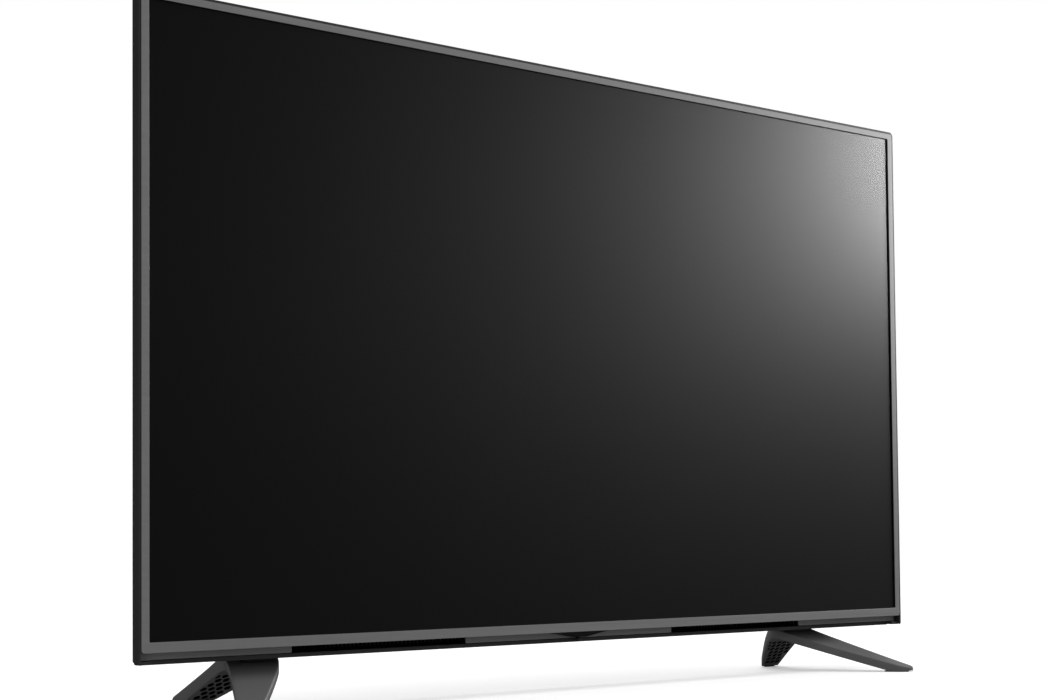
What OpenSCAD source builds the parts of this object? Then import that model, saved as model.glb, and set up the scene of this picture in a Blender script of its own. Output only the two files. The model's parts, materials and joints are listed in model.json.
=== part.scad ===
// Flat screen television on two boomerang feet, as it comes apart on a bench.
// Millimetres. X runs right across the screen, Y runs back from it, Z runs up from the floor.

/* [Screen] */
// Width of the screen that shows inside the front frame
screen_w = 1076; // [1050:1:1160]
// Height of the screen that shows inside the front frame
screen_h = 608; // [590:1:680]
// Thickness of the liquid crystal panel
cell_t = 1.8; // [1.2:0.1:2.4]
// How far the panel reaches under the front frame
cell_lap = 4; // [3.5:0.1:5]
// Thickness of the foam gasket in front of the panel
gasket_t = 0.4; // [0.4:0.1:1]
// Width of the foam gasket
gasket_w = 3; // [2:0.1:3.5]

/* [Front frame] */
// Face width of the front frame at the sides
frame_side = 8.3; // [8:0.1:14]
// Face width of the front frame at the top
frame_top = 7.1; // [6.8:0.1:14]
// Face width of the front frame at the bottom
frame_bottom = 10; // [9.5:0.1:16]
// Thickness of the front frame
frame_t = 1.4; // [1.2:0.1:2.2]
// Radius of the front frame's outer corners
frame_corner = 3; // [1:0.1:4]
// Clearance between the front frame and the rim round it
frame_gap = 0.2; // [0.1:0.05:0.4]

/* [Side frame] */
// Width of the dark rim outside the front frame
rim = 2.6; // [2:0.1:4]
// How far the rim stands behind the front plane
rim_step = 0.6; // [0.2:0.1:1.2]
// Depth of the side frame behind the front plane
side_depth = 12.8; // [12.8:0.1:15]
// Radius of the case's corners
case_corner = 6; // [5:0.1:10]
// Radius of the lower corners of the side frame
low_corner = 3; // [2.4:0.1:5]
// Thickness of the ledge that the front frame seats on
seat_t = 2; // [1:0.1:2.3]
// Thickness of the shelf behind the frame's bottom rail
shelf_t = 2.2; // [1.8:0.1:2.6]
// How far the side walls stop above the bottom of the case
side_lift = 0.6; // [0.4:0.1:3]
// How far the bottom of the side walls rises from front to back
side_rise = 3.2; // [1:0.1:4]
// Thickness of the flange that the rear cover meets
flange_t = 1.4; // [1:0.1:1.6]

/* [Chin and speaker slots] */
// Height of the chin below the front frame
chin_h = 12; // [9:0.1:14]
// Depth of the trim strip behind the front plane
chin_set_back = 16; // [15.5:0.1:19]
// Thickness of the trim strip
trim_t = 2; // [1.5:0.1:3]
// Height of the rear cover's lip under the trim strip
lip_h = 4; // [2.6:0.1:4.2]
// Seam between the lip and the trim strip
seam = 0.7; // [0.2:0.1:0.8]
// Distance from the middle to the near end of each slot
slot_near = 152; // [120:1:200]
// Length of each speaker slot
slot_len = 219; // [120:1:260]
// Strip left above and below each slot
slot_bridge = 1.2; // [0.6:0.1:2]
// Thickness of the grille sheet
grille_t = 0.8; // [0.5:0.1:1.2]
// Lap of the grille sheet round the slot's ends
grille_lap = 4; // [2:0.5:8]
// Spacing of the grille's slits
slit_pitch = 5; // [4:0.5:8]
// Width of a grille slit
slit_w = 2.6; // [1.5:0.1:3]

/* [Control pod] */
// Width of the remote window along the frame
window_w = 84; // [60:1:110]
// Height of the remote window
window_h = 5.8; // [5:0.1:6.4]
// Width of the window at its lower tip
window_tip = 12; // [12:0.5:20]
// Thickness of the remote window
window_t = 2; // [1:0.1:2.4]
// How far the window stands behind the front plane
window_step = 0.8; // [0.3:0.1:1.2]
// Depth of the pod behind the window
pod_t = 12.6; // [12:0.1:12.7]
// Length of the remote receiver's board
receiver_w = 14; // [8:0.5:16]
// Height of the remote receiver's board
receiver_h = 2; // [1.5:0.1:2.2]
// Radius of the joystick's knob
knob_r = 5.2; // [4:0.1:6]
// Height of the joystick's knob
knob_h = 2.1; // [1.5:0.1:2.3]
// Radius of the joystick's stem
stem_r = 1.9; // [1.5:0.1:2]
// Wall of the joystick's ring
ring_wall = 1; // [0.9:0.05:1.2]
// Height of the joystick's ring
ring_h = 1.6; // [1.4:0.1:1.8]
// Wall of the joystick's plunger
sleeve_wall = 1; // [0.9:0.05:1.2]
// Radius of the joystick's pivot pins
pin_r = 0.45; // [0.35:0.05:0.5]
// Travel of the joystick when it is pressed
press_travel = 0.6; // [0.3:0.1:0.7]
// Running gap inside the joystick
joy_gap = 0.3; // [0.25:0.05:0.4]

/* [Backlight] */
// Thickness of the guide frame's ledge behind the panel
guide_t = 1.6; // [1.2:0.1:2]
// How far the guide frame stands out past the panel
guide_lip = 0.8; // [0.6:0.1:1]
// Wall of the guide frame's skirt
guide_wall = 1.4; // [1:0.1:1.8]
// Thickness of one optical sheet
sheet_t = 0.5; // [0.3:0.1:0.6]
// Thickness of the diffuser plate
plate_t = 2; // [1.5:0.1:2.2]
// Depth of the light box behind the diffuser plate
cavity = 15.8; // [12:0.1:16]
// Thickness of the backlight tray's steel
tray_t = 1; // [0.8:0.1:1.2]
// Distance from the screen's edge to the tray's walls
tray_inset = 45; // [40:1:60]
// Number of light bars
bar_n = 5; // [3:1:6]
// Number of lamps on each bar
lamp_n = 9; // [5:1:10]
// Height of a light bar
bar_h = 14; // [10:1:20]
// Thickness of a light bar
bar_t = 1.2; // [0.8:0.1:1.6]
// Radius of a lamp's lens
lens_r = 7; // [5:0.5:9]
// Height of a lamp's lens
lens_h = 4.5; // [3:0.1:6]
// Thickness of the reflector sheet
reflector_t = 0.6; // [0.4:0.1:0.8]

/* [Rear cover] */
// Wall of the rear cover
wall = 2.4; // [2:0.1:3]
// How far the cover stands in from the case at the sides
cover_step = 4.6; // [3:0.1:4.8]
// Radius of the cover's lower corners
cover_corner = 6; // [4:0.1:6.4]
// How far the cover stands in from the case at the top
cover_top = 0.8; // [0.4:0.1:1.2]
// Depth of the flat upper back behind the front plane
back_depth = 36; // [35:0.5:42]
// Depth of the deepest part of the case
case_depth = 57; // [55:0.5:64]
// Run of the slope from the case's edge to the flat back
edge_run = 60; // [50:1:64]
// Distance from the case's edge in to the raised lower back
bulge_in = 89.4; // [75:0.1:99]
// Height of the raised lower back
bulge_h = 440; // [420:1:480]
// Run of the slope round the raised lower back
bulge_run = 20; // [12:1:24]
// Depth of the rear socket recesses
recess_depth = 12; // [8:0.5:13]
// Height of a vent slit
vent_h = 30; // [15:1:40]
// Width of a vent slit
vent_w = 3; // [2:0.5:4]
// Spacing of the vent slits
vent_pitch = 9; // [7:0.5:12]
// Number of vent slits in a row
vent_n = 40; // [20:2:46]
// Radius of a cover screw
cover_screw_r = 1.5; // [1.3:0.1:1.8]
// Radius of a cover screw's head
cover_head_r = 3.6; // [3:0.1:4]
// Height of a cover screw's head
cover_head_h = 1.8; // [1.2:0.1:2.2]

/* [Wall mount] */
// Spacing of the wall mount's holes across
mount_w = 300; // [290:1:310]
// Spacing of the wall mount's holes upwards
mount_h = 300; // [280:1:300]
// Height of the wall mount's middle above the floor
mount_z = 300; // [298:1:320]
// Radius of a wall mount's threaded hole
mount_hole_r = 3; // [2:0.5:4]
// Depth of a wall mount's threaded hole
mount_hole_deep = 20; // [12:1:26]
// Radius of a wall mount's post
mount_post_r = 8; // [6:0.5:9]

/* [Boards] */
// Height of the standoffs under the boards
standoff_h = 6; // [5:0.5:6.5]
// Radius of a standoff
standoff_r = 3; // [2.6:0.1:3.4]
// Thickness of a board
board_t = 1.6; // [1.2:0.1:2]
// Distance from the middle to the near edge of the two large boards
board_near = 172; // [168:1:180]
// Width of the main board
main_w = 155; // [150:1:165]
// Height of the main board
main_h = 260; // [240:1:270]
// Width of the power board
power_w = 155; // [140:1:165]
// Height of the power board
power_h = 220; // [210:1:260]
// Height of the boards' lower edge above the floor
board_z = 140; // [138:1:146]
// Width of the timing board
timing_w = 180; // [150:1:200]
// Height of the timing board
timing_h = 46; // [40:1:50]
// Radius of a board screw
board_screw_r = 1.4; // [1.2:0.1:1.5]
// Radius of a board screw's head
board_head_r = 2.8; // [2.2:0.1:3]
// Height of a board screw's head
board_head_h = 1.8; // [1.2:0.1:2.2]

/* [Sockets] */
// Height of a socket's body above its board
port_h = 12.6; // [11:0.1:13.5]
// Length of a side socket's body
port_len = 12; // [10:0.5:16]
// Width of a video socket's mouth
video_w = 14; // [12:0.5:16]
// Height of a video socket's mouth
video_h = 4.6; // [4.3:0.1:5]
// Width of the data socket's mouth
data_w = 12.4; // [11:0.1:14]
// Height of the data socket's mouth
data_h = 5.2; // [4.6:0.1:6]
// Width of the network socket's mouth
network_w = 11.8; // [11:0.1:13]
// Height of the network socket's mouth
network_h = 8.4; // [7:0.1:9]
// Width of the optical socket's mouth
optical_w = 5.4; // [4.6:0.1:6]
// Radius of a sound socket's hole
jack_r = 1.8; // [1.5:0.1:2.2]
// Radius of the antenna socket's thread
antenna_r = 4.7; // [4:0.1:5]
// Width of the mains inlet's mouth
inlet_w = 15.4; // [14:0.1:17]
// Height of the mains inlet's mouth
inlet_h = 7.6; // [7:0.1:8.4]
// Wall round a socket's mouth
port_wall = 1; // [0.8:0.1:1.4]
// Depth of a socket's mouth
port_deep = 9; // [7:0.5:9.5]

/* [Speakers] */
// Distance from the middle to the near end of a speaker box
speaker_near = 180; // [175:1:190]
// Distance from the case's edge in to a speaker box
speaker_in = 219.4; // [215:0.1:239]
// Height of a speaker box
speaker_h = 48; // [40:1:52]
// Depth of a speaker box
speaker_d = 30; // [28:0.5:32]
// Wall of a speaker box
speaker_wall = 2; // [1.5:0.1:2.5]
// Length of the cone
cone_len = 90; // [70:1:100]
// Width of the cone
cone_w = 21; // [20:0.5:22]
// Thickness of the cone
cone_t = 1.5; // [1:0.1:2]
// Travel of the cone each way
cone_travel = 1.2; // [0.5:0.1:1.6]
// Radius of the voice coil
coil_r = 7; // [6:0.1:8]
// Radius of a lead to a speaker
lead_r = 1.5; // [1:0.1:1.7]

/* [Stand] */
// Gap from the floor to the bottom of the case
stand_gap = 53.2; // [48:0.1:64]
// Reach of the feet ahead of the front plane
front_reach = 74; // [66:1:84]
// Reach of the feet behind the front plane
rear_reach = 128; // [122:1:140]
// Depth of the feet's apex behind the front plane
root_back = 55; // [53:0.5:58]
// Distance from the case's edge in to a foot's apex
foot_in = 163.5; // [158:0.5:170]
// Distance from the case's edge in to a front leg's tip
tip_in = 73; // [68:0.5:92]
// Distance from the case's edge in to a rear leg's end
rear_in = 116; // [104:0.5:128]
// Width of a foot at its apex
root_w = 69; // [64:1:72]
// Width of a front leg at its tip
tip_w = 18.5; // [17:0.5:24]
// Width of a rear leg at its end
rear_w = 26; // [22:1:30]
// Thickness of a front leg
foot_t = 10.5; // [9:0.1:12]
// Thickness of a rear leg
rear_t = 15; // [13:0.1:17]
// Height of the apex of the legs' lines above the bottom of the case
foot_rise = 2; // [0.6:0.1:2.6]
// Height of a front leg's tip
tip_top = 5.2; // [4.5:0.1:7]
// Share of the front leg's fall that bows it
leg_bow = 0.02; // [0:0.01:0.4]
// Radius that rounds the legs' ends
tip_round = 7; // [4:0.5:10]
// Length of the neck under the case
neck_l = 16; // [14:0.5:17]
// Width of the neck under the case
neck_w = 40; // [36:1:44]
// Thickness of the honeycomb plate
honey_t = 2; // [1.5:0.1:2.5]
// Solid border of the honeycomb plate
honey_edge = 2; // [1:0.1:3]
// Spacing of the honeycomb
honey_pitch = 6.2; // [5:0.1:8]
// Wall between two honeycomb cells
honey_wall = 1; // [0.8:0.1:1.6]
// Thickness of the rubber pads
pad_t = 1.2; // [1:0.1:2.6]
// Length of a front pad
pad_l = 30; // [20:0.5:36]
// Width of a front pad
pad_w = 11; // [8:0.5:12]
// Length of a rear pad
rear_pad_l = 16; // [10:0.5:18]
// Width of a rear pad
rear_pad_w = 6; // [5:0.5:7]
// Radius of a foot screw
foot_screw_r = 2; // [1.6:0.1:2.4]
// Radius of a foot screw's head
foot_head_r = 3.8; // [3.2:0.1:4.2]
// Height of a foot screw's head
foot_head_h = 3; // [2:0.1:3.4]
// Spacing of a foot's two screws
foot_screw_gap = 20; // [18:0.5:24]
// Height of the steel bracket above the foot
bracket_h = 26; // [20:1:32]

/* [Hidden] */
$fn = 64;
// General clearance between pieces that fit together, and round screws and sockets
fit = 0.3;
screw_gap = 0.2;
socket_gap = 0.5;
// Overshoot of a cut past the face that it opens
over = 1;

// Widths and heights of the front, from the middle and from the floor
x_open = screen_w / 2;
x_frame = x_open + frame_side;
x_case = x_frame + rim;
z_case0 = stand_gap;
z_frame0 = z_case0 + chin_h;
z_open0 = z_frame0 + frame_bottom;
z_open1 = z_open0 + screen_h;
z_frame1 = z_open1 + frame_top;
z_case1 = z_frame1 + rim;
z_side0 = z_case0 + side_lift;

// Depths, with Y = 0 half way along the feet
y_front = (front_reach - rear_reach) / 2;
y_frame1 = y_front + frame_t;
y_cell0 = y_frame1 + gasket_t;
y_cell1 = y_cell0 + cell_t;
y_guide1 = y_cell1 + guide_t;
y_sheet1 = y_guide1 + sheet_t;
y_sheet2 = y_sheet1 + sheet_t;
y_plate1 = y_sheet2 + plate_t;
y_tray1 = y_plate1 + cavity + tray_t;
y_base0 = y_tray1 - tray_t;
y_bar0 = y_base0 - bar_t;
y_board0 = y_tray1 + standoff_h;
y_board1 = y_board0 + board_t;
y_side1 = y_front + side_depth;
y_trim0 = y_front + chin_set_back;
y_trim1 = y_trim0 + trim_t;
y_slope0 = y_trim1 + fit;
y_back = y_front + back_depth;
y_bulge = y_front + case_depth;
y_recess = y_bulge - recess_depth;

// Panel stack
x_cell = x_open + cell_lap;
z_cell0 = z_open0 - cell_lap;
z_cell1 = z_open1 + cell_lap;
x_guide = x_cell + guide_lip;
z_guide0 = z_cell0 - guide_lip;
z_guide1 = z_cell1 + guide_lip;
guide_hold = 0.6;
sheet_gap = 0.6;
x_sheet = x_guide - guide_wall - sheet_gap;
z_sheet0 = z_guide0 + guide_wall + sheet_gap;
z_sheet1 = z_guide1 - guide_wall - sheet_gap;
x_tray = x_open - tray_inset;
z_tray0 = z_open0 + tray_inset;
z_tray1 = z_open1 - tray_inset;
bar_end = 22;
lamp_pitch = 2 * (x_tray - bar_end) / lamp_n;
bar_pitch = (z_tray1 - z_tray0) / bar_n;
lens_step_h = 3;
lens_step_r = 5;

// Rear cover outlines
x_cover = x_case - cover_step;
x_cover_in = x_cover - wall;
z_cover1 = z_case1 - cover_top;
x_bulge = x_case - bulge_in;
z_bulge1 = z_case0 + bulge_h;
x_trim = x_cover_in - fit;
z_trim0 = z_case0 + lip_h + seam;
z_trim1 = z_frame0 + shelf_t;
lip_t = 2.5;
flange_end = 10;
film_room = 1.6;

// Control pod
y_window0 = y_front + window_step;
y_window1 = y_window0 + window_t;
y_pod1 = y_window1 + pod_t;
joy_y = (y_window1 + y_pod1) / 2;
z_pod = z_frame0 - window_h;
stem_gap = 0.4;
ring_r0 = stem_r + stem_gap;
ring_r1 = ring_r0 + ring_wall;
sleeve_r0 = ring_r1 + joy_gap;
sleeve_r1 = sleeve_r0 + sleeve_wall;
pod_bore_r = sleeve_r1 + joy_gap;
pin_gap = 0.2;
pin_reach = 0.7;
pivot_rise = 4;
z_pivot = z_pod + pivot_rise;
sleeve_drop = 0.5;
stem_rise = 1;
cap_rise = 1.6;
cap_t = 1;
z_sleeve0 = z_pivot - ring_h / 2 - sleeve_drop;
z_sleeve1 = z_pivot + cap_rise + cap_t;
knob_gap = 0.7;
z_knob1 = z_pod - press_travel - knob_gap;
switch_w = 14;
switch_d = 6.4;
switch_t = 1.6;
dome_r = 2;
dome_gap = 0.1;
z_switch0 = z_frame0 + shelf_t;
receiver_near = 8;
receiver_t = 1.2;
receiver_drop = 0.4;

// Boards and sockets
x_main1 = board_near + main_w;
term_gap = 4;
x_term = x_main1 + term_gap;
y_port1 = y_board1 + port_h;
port_lip = 0.6;
recess_lip = 1.5;
port_up = 130;
port_z = board_z + port_up;
pocket_under = 38;
pocket_over = 122;
pocket_z0 = port_z - pocket_under;
pocket_z1 = port_z + pocket_over;
port_pitch = 34;
socket_up = 28;
socket_z = board_z + socket_up;
socket_half = 14;
network_in = 28;
network_x = board_near + network_in;
optical_in = 54;
optical_x = board_near + optical_in;
jack_in = 76;
jack_x = board_near + jack_in;
jack_pitch = 18;
antenna_in = 124;
antenna_x = board_near + antenna_in;
recess_in = 12;
socket_near = board_near + recess_in;
recess_l = 128;
socket_far = socket_near + recess_l;
inlet_in = 78;
inlet_x = -board_near - inlet_in;
inlet_half = 24;
jack_body = 10;
jack_collar_r = 4;
antenna_can = 15;
antenna_step = 5;
antenna_bore_r = 2.2;
inlet_wall = 3;
inlet_pin_r = 1.2;
inlet_pin_x = 4.3;
inlet_pin_l = 8;
corner_in = 8;
chip = 24;
chip_t = 2;
chip_in = 73;
chip_x = board_near + chip_in;
chip_up = 178;
chip_z = board_z + chip_up;
sink_w = 44;
sink_base = 2;
sink_fin = 8;
sink_fin_t = 1.6;
sink_fin_n = 7;
plug_w = 12;
plug_d = 7;
harness_up = 190;
harness_z = board_z + harness_up;
harness_r = 2.4;
plug_half = 8;
cap_r = 8;
cap_h = 18;
cap_pitch = 22;
cap_in = 128;
cap_x = -board_near - cap_in;
cap_up = 90;
cap_z = board_z + cap_up;
coil_w = 34;
coil_h = 30;
coil_d = 16;
coil_in = 58;
coil_x = -board_near - coil_in;
coil_up = 85;
coil_z = board_z + coil_up;
coil_pitch = 60;
blade_in = 98;
blade_x = -board_near - blade_in;
blade_up = 135;
blade_z = board_z + blade_up;
blade_l = 60;
blade_t = 3;
blade_h = 15;
timing_under = 55;
timing_z = mount_z + mount_h / 2 - timing_under;
ribbon_t = 0.4;
ribbon_w = 24;
ribbon_in = 24;
ribbon_x = board_near + ribbon_in;
ribbon_lap = 12;
panel_ribbon_x = 60;
source_h = 26;
source_near = 20;
source_len = 440;
source_t = 1.6;
y_source0 = y_plate1 + tray_t;
y_source1 = y_source0 + source_t;
z_source1 = z_cell1 - film_room;
film_n = 6;
film_w = 30;
film_t = 0.3;
film_pitch = 72;
film_lap = 8;
z_film = z_guide1 + fit;
wireless_x = -60;
wireless_z = 190;
wireless_w = 40;
wireless_h = 30;
wireless_t = 3;

// Speakers
y_speaker0 = y_trim1 + grille_t + fit;
y_speaker1 = y_speaker0 + speaker_d;
speaker_lift = 5.6;
z_speaker0 = z_case0 + wall + speaker_lift;
z_speaker1 = z_speaker0 + speaker_h;
speaker_far = x_case - speaker_in;
speaker_x = (speaker_near + speaker_far) / 2;
speaker_y = (y_speaker0 + y_speaker1) / 2;
cone_gap = 0.4;
coil_wall = 0.8;
coil_l = 10;
motor_gap = 0.4;
lead_rise = 6;
lead_z = z_speaker1 + lead_rise;
lead_up = 12;
lead_in = 24;
lead_x = board_near + lead_in;
lead_pitch = 6;
y_lead = y_board1 + lead_r + fit;

// Feet
foot_x = x_case - foot_in;
tip_x = x_case - tip_in;
rear_x = x_case - rear_in;
leg_f = root_back + front_reach;
leg_r = rear_reach - root_back;
plan_blend = 16;
crotch_blend = 8;
rear_fall = 50.8;
rear_slope = atan(rear_fall / leg_r);
foot_sides = 20;
foot_rings = 40;
foot_square = 0.18;
end_share = 0.3;
end_pack = 0.6;
neck_sink = 6;
neck_proud = 0.6;
neck_in = 9.5;
neck_back = root_back - neck_in;
z_root = z_case0 + foot_rise;
z_neck0 = z_case0 - foot_t;
neck_out = 9;
neck_x = foot_x + neck_out;
head_seat = 9;
bracket_w = 52;
bracket_wall = 3;
screw_reach = 18;
pad_in = 15;
leg_turn = atan((tip_x - foot_x) / leg_f);
rear_pad_in = 7;
rear_pad_corner = 2;
honey_near = 14;
honey_far = 72;
honey_side = 3;
honey_sink = 0.3;

// Box between two limits on each axis
module block(x, y, z) {
    translate([x[0], y[0], z[0]])
        cube([x[1] - x[0], y[1] - y[0], z[1] - z[0]]);
}

// Outline in X and Z, drawn out between two depths
module across(y0, y1) {
    translate([0, y1, 0])
        rotate([90, 0, 0])
            linear_extrude(y1 - y0)
                children();
}

// Rectangle between two limits, flat in X and Z
module flat(x, z) {
    translate([x[0], z[0]])
        square([x[1] - x[0], z[1] - z[0]]);
}

// Rectangle with round corners
module round_flat(x, z, r) {
    flat([x[0] + r, x[1] - r], z);
    flat(x, [z[0] + r, z[1] - r]);
    for (cx = [x[0] + r, x[1] - r], cz = [z[0] + r, z[1] - r])
        translate([cx, cz])
            circle(r = r);
}

// Round bars along each axis
module rod_x(y, z, x0, x1, r) {
    translate([x0, y, z])
        rotate([0, 90, 0])
            cylinder(h = x1 - x0, r = r);
}

module rod_y(x, z, y0, y1, r) {
    translate([x, y1, z])
        rotate([90, 0, 0])
            cylinder(h = y1 - y0, r = r);
}

module rod_z(x, y, z0, z1, r) {
    translate([x, y, z0])
        cylinder(h = z1 - z0, r = r);
}

// Ring outline between an outer and an inner rectangle
module ring_flat(x1, z1, x0, z0, r = 0) {
    difference() {
        if (r > 0)
            round_flat([-x1, x1], z1, r);
        else
            flat([-x1, x1], z1);
        flat([-x0, x0], z0);
    }
}

// The piece on the right, and its mirror image on the left
module both_sides() {
    children();
    mirror([1, 0, 0])
        children();
}

// Front of the set
module front_frame() {
    color([0.42, 0.42, 0.43])
        across(y_front, y_frame1)
            ring_flat(x_frame, [z_frame0, z_frame1], x_open, [z_open0, z_open1], frame_corner);
}

// Outline of the case's edge, with a radius of its own at the lower corners
module case_flat() {
    round_flat([-x_case, x_case], [z_frame0, z_case1], case_corner);
    round_flat([-x_case, x_case], [z_side0, z_open0 + case_corner], low_corner);
}

// Wedge that lifts the bottom of each side wall toward the back
module side_waste() {
    y0 = y_front + rim_step;
    y1 = y_side1 + over;
    both_sides()
        translate([x_frame + frame_gap, 0, 0])
            rotate([90, 0, 90])
                linear_extrude(rim + over)
                    polygon([
                        [y0, z_side0 - over],
                        [y1, z_side0 - over],
                        [y1, z_side0 + side_rise * (y1 - y0) / (y_side1 - y0)],
                        [y0, z_side0]
                    ]);
}

module side_frame() {
    x_in = x_frame + frame_gap;
    x_mid = x_frame + rim / 2;
    z_in = z_frame1 + frame_gap;
    color([0.1, 0.1, 0.11])
        difference() {
            union() {
                across(y_front + rim_step, y_side1)
                    difference() {
                        case_flat();
                        round_flat([-x_in, x_in], [z_side0 - case_corner, z_in], frame_corner + frame_gap);
                    }
                across(y_frame1, y_frame1 + seat_t)
                    ring_flat(x_mid, [z_frame0, z_frame1 + rim / 2],
                        x_guide + fit, [z_guide0 - fit, z_guide1 + film_room], frame_corner);
                across(y_frame1, y_side1)
                    flat([-x_mid, x_mid], [z_frame0, z_frame0 + shelf_t]);
                across(y_side1 - fit, y_trim0)
                    flat([-x_trim, x_trim], [z_frame0, z_frame0 + shelf_t]);
                across(y_side1 - flange_t, y_side1)
                    intersection() {
                        case_flat();
                        both_sides()
                            flat([x_cover_in, x_mid], [z_side0, z_case1 - flange_end]);
                    }
            }
            rod_z(0, joy_y, z_frame0 - over, z_frame0 + shelf_t + over, pod_bore_r);
            side_waste();
        }
}

// Speaker slot outline on the right, grown by a lap
module slot_flat(lap_x, lap_z) {
    flat([slot_near - lap_x, slot_near + slot_len + lap_x],
        [z_trim0 + slot_bridge - lap_z, z_trim1 - slot_bridge + lap_z]);
}

// Trim strip: a plate in the middle and one at each end, with bars above and below the slots between them
module lower_trim() {
    color([0.2, 0.2, 0.21])
        across(y_trim0, y_trim1) {
            flat([-slot_near, slot_near], [z_trim0, z_trim1]);
            both_sides()
                flat([slot_near + slot_len, x_trim], [z_trim0, z_trim1]);
        }
}

module slot_bars() {
    color([0.2, 0.2, 0.21])
        across(y_trim0, y_trim1)
            both_sides()
                for (z = [[z_trim0, z_trim0 + slot_bridge], [z_trim1 - slot_bridge, z_trim1]])
                    flat([slot_near, slot_near + slot_len], z);
}

module right_grille() {
    slit_n = floor((slot_len - slit_pitch) / slit_pitch);
    slit_x0 = slot_near + (slot_len - (slit_n - 1) * slit_pitch) / 2;
    color([0.03, 0.03, 0.03])
        across(y_trim1, y_trim1 + grille_t)
            difference() {
                slot_flat(grille_lap, slot_bridge);
                for (i = [0 : slit_n - 1])
                    flat([slit_x0 + i * slit_pitch - slit_w / 2, slit_x0 + i * slit_pitch + slit_w / 2],
                        [z_trim0 + 2 * slot_bridge, z_trim1 - 2 * slot_bridge]);
            }
}

module left_grille() {
    mirror([1, 0, 0])
        right_grille();
}

// Wedge outline of the remote window and of the pod behind it
module wedge_flat() {
    polygon([[-window_w / 2, z_frame0], [window_w / 2, z_frame0],
        [window_tip / 2, z_pod], [-window_tip / 2, z_pod]]);
}

module ir_window() {
    color([0.02, 0.02, 0.03])
        across(y_window0, y_window1)
            wedge_flat();
}

module receiver_box(gap) {
    block([-receiver_near - receiver_w - gap, -receiver_near + gap],
        [y_window1, y_window1 + receiver_t + gap],
        [z_frame0 - receiver_drop - receiver_h - gap, z_frame0 - receiver_drop + gap]);
}

module ir_board() {
    color([0.1, 0.35, 0.16])
        receiver_box(0);
}

module joystick_housing() {
    color([0.06, 0.06, 0.06])
        difference() {
            across(y_window1, y_pod1)
                wedge_flat();
            rod_z(0, joy_y, z_pod - over, z_frame0 + over, pod_bore_r);
            receiver_box(fit / 2);
        }
}

module joystick_switch() {
    color([0.25, 0.25, 0.26]) {
        block([-switch_w / 2, switch_w / 2], [joy_y - switch_d / 2, joy_y + switch_d / 2],
            [z_switch0, z_switch0 + switch_t]);
        rod_z(0, joy_y, z_sleeve1 + press_travel + dome_gap, z_switch0, dome_r);
    }
}

module joystick_plunger() {
    color([0.12, 0.12, 0.12])
        difference() {
            rod_z(0, joy_y, z_sleeve0, z_sleeve1, sleeve_r1);
            rod_z(0, joy_y, z_sleeve0 - over, z_sleeve1 - cap_t, sleeve_r0);
            rod_y(0, z_pivot, joy_y - sleeve_r1 - over, joy_y + sleeve_r1 + over, pin_r + pin_gap);
        }
}

module joystick_ring() {
    color([0.6, 0.6, 0.62])
        difference() {
            union() {
                rod_z(0, joy_y, z_pivot - ring_h / 2, z_pivot + ring_h / 2, ring_r1);
                rod_y(0, z_pivot, joy_y - sleeve_r0 - pin_reach, joy_y + sleeve_r0 + pin_reach, pin_r);
            }
            rod_z(0, joy_y, z_pivot - ring_h, z_pivot + ring_h, ring_r0);
            rod_x(joy_y, z_pivot, -ring_r1 - over, ring_r1 + over, pin_r + pin_gap);
        }
}

module joystick_knob() {
    color([0.05, 0.05, 0.05]) {
        rod_z(0, joy_y, z_knob1 - knob_h, z_knob1, knob_r);
        rod_z(0, joy_y, z_knob1, z_pivot + stem_rise, stem_r);
        rod_x(joy_y, z_pivot, -ring_r0 - pin_reach, ring_r0 + pin_reach, pin_r);
    }
}

// Screen stack
module panel_gasket() {
    color([0.05, 0.05, 0.05])
        across(y_frame1, y_cell0)
            ring_flat(x_cell, [z_cell0, z_cell1],
                x_cell - gasket_w, [z_cell0 + gasket_w, z_cell1 - gasket_w]);
}

module lcd_panel() {
    color([0.06, 0.06, 0.07])
        across(y_cell0, y_cell1)
            flat([-x_cell, x_cell], [z_cell0, z_cell1]);
}

module panel_guide() {
    color([0.08, 0.08, 0.08]) {
        across(y_cell1, y_guide1)
            ring_flat(x_guide, [z_guide0, z_guide1],
                x_open + guide_hold, [z_open0 - guide_hold, z_open1 + guide_hold]);
        across(y_guide1, y_plate1)
            ring_flat(x_guide, [z_guide0, z_guide1],
                x_guide - guide_wall, [z_guide0 + guide_wall, z_guide1 - guide_wall]);
    }
}

module light_sheet(y0, y1) {
    across(y0, y1)
        flat([-x_sheet, x_sheet], [z_sheet0, z_sheet1]);
}

module prism_sheet() {
    color([0.8, 0.82, 0.85])
        light_sheet(y_guide1, y_sheet1);
}

module diffuser_sheet() {
    color([0.9, 0.9, 0.9])
        light_sheet(y_sheet1, y_sheet2);
}

module diffuser_plate() {
    color([0.93, 0.93, 0.93])
        light_sheet(y_sheet2, y_plate1);
}

// One child for each lamp of the backlight, at its place in X and Z
module at_lamps() {
    for (row = [0 : bar_n - 1], col = [0 : lamp_n - 1])
        translate([(col - (lamp_n - 1) / 2) * lamp_pitch, 0, z_tray0 + (row + 0.5) * bar_pitch])
            children();
}

module led_bars() {
    color([0.85, 0.86, 0.84])
        for (row = [0 : bar_n - 1])
            translate([0, 0, z_tray0 + (row + 0.5) * bar_pitch])
                block([-x_tray + bar_end, x_tray - bar_end], [y_bar0, y_base0], [-bar_h / 2, bar_h / 2]);
}

module led_lenses() {
    color([0.88, 0.92, 0.95])
        at_lamps() {
            rod_y(0, 0, y_bar0 - lens_step_h, y_bar0, lens_r);
            rod_y(0, 0, y_bar0 - lens_h, y_bar0 - lens_step_h, lens_step_r);
        }
}

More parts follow.
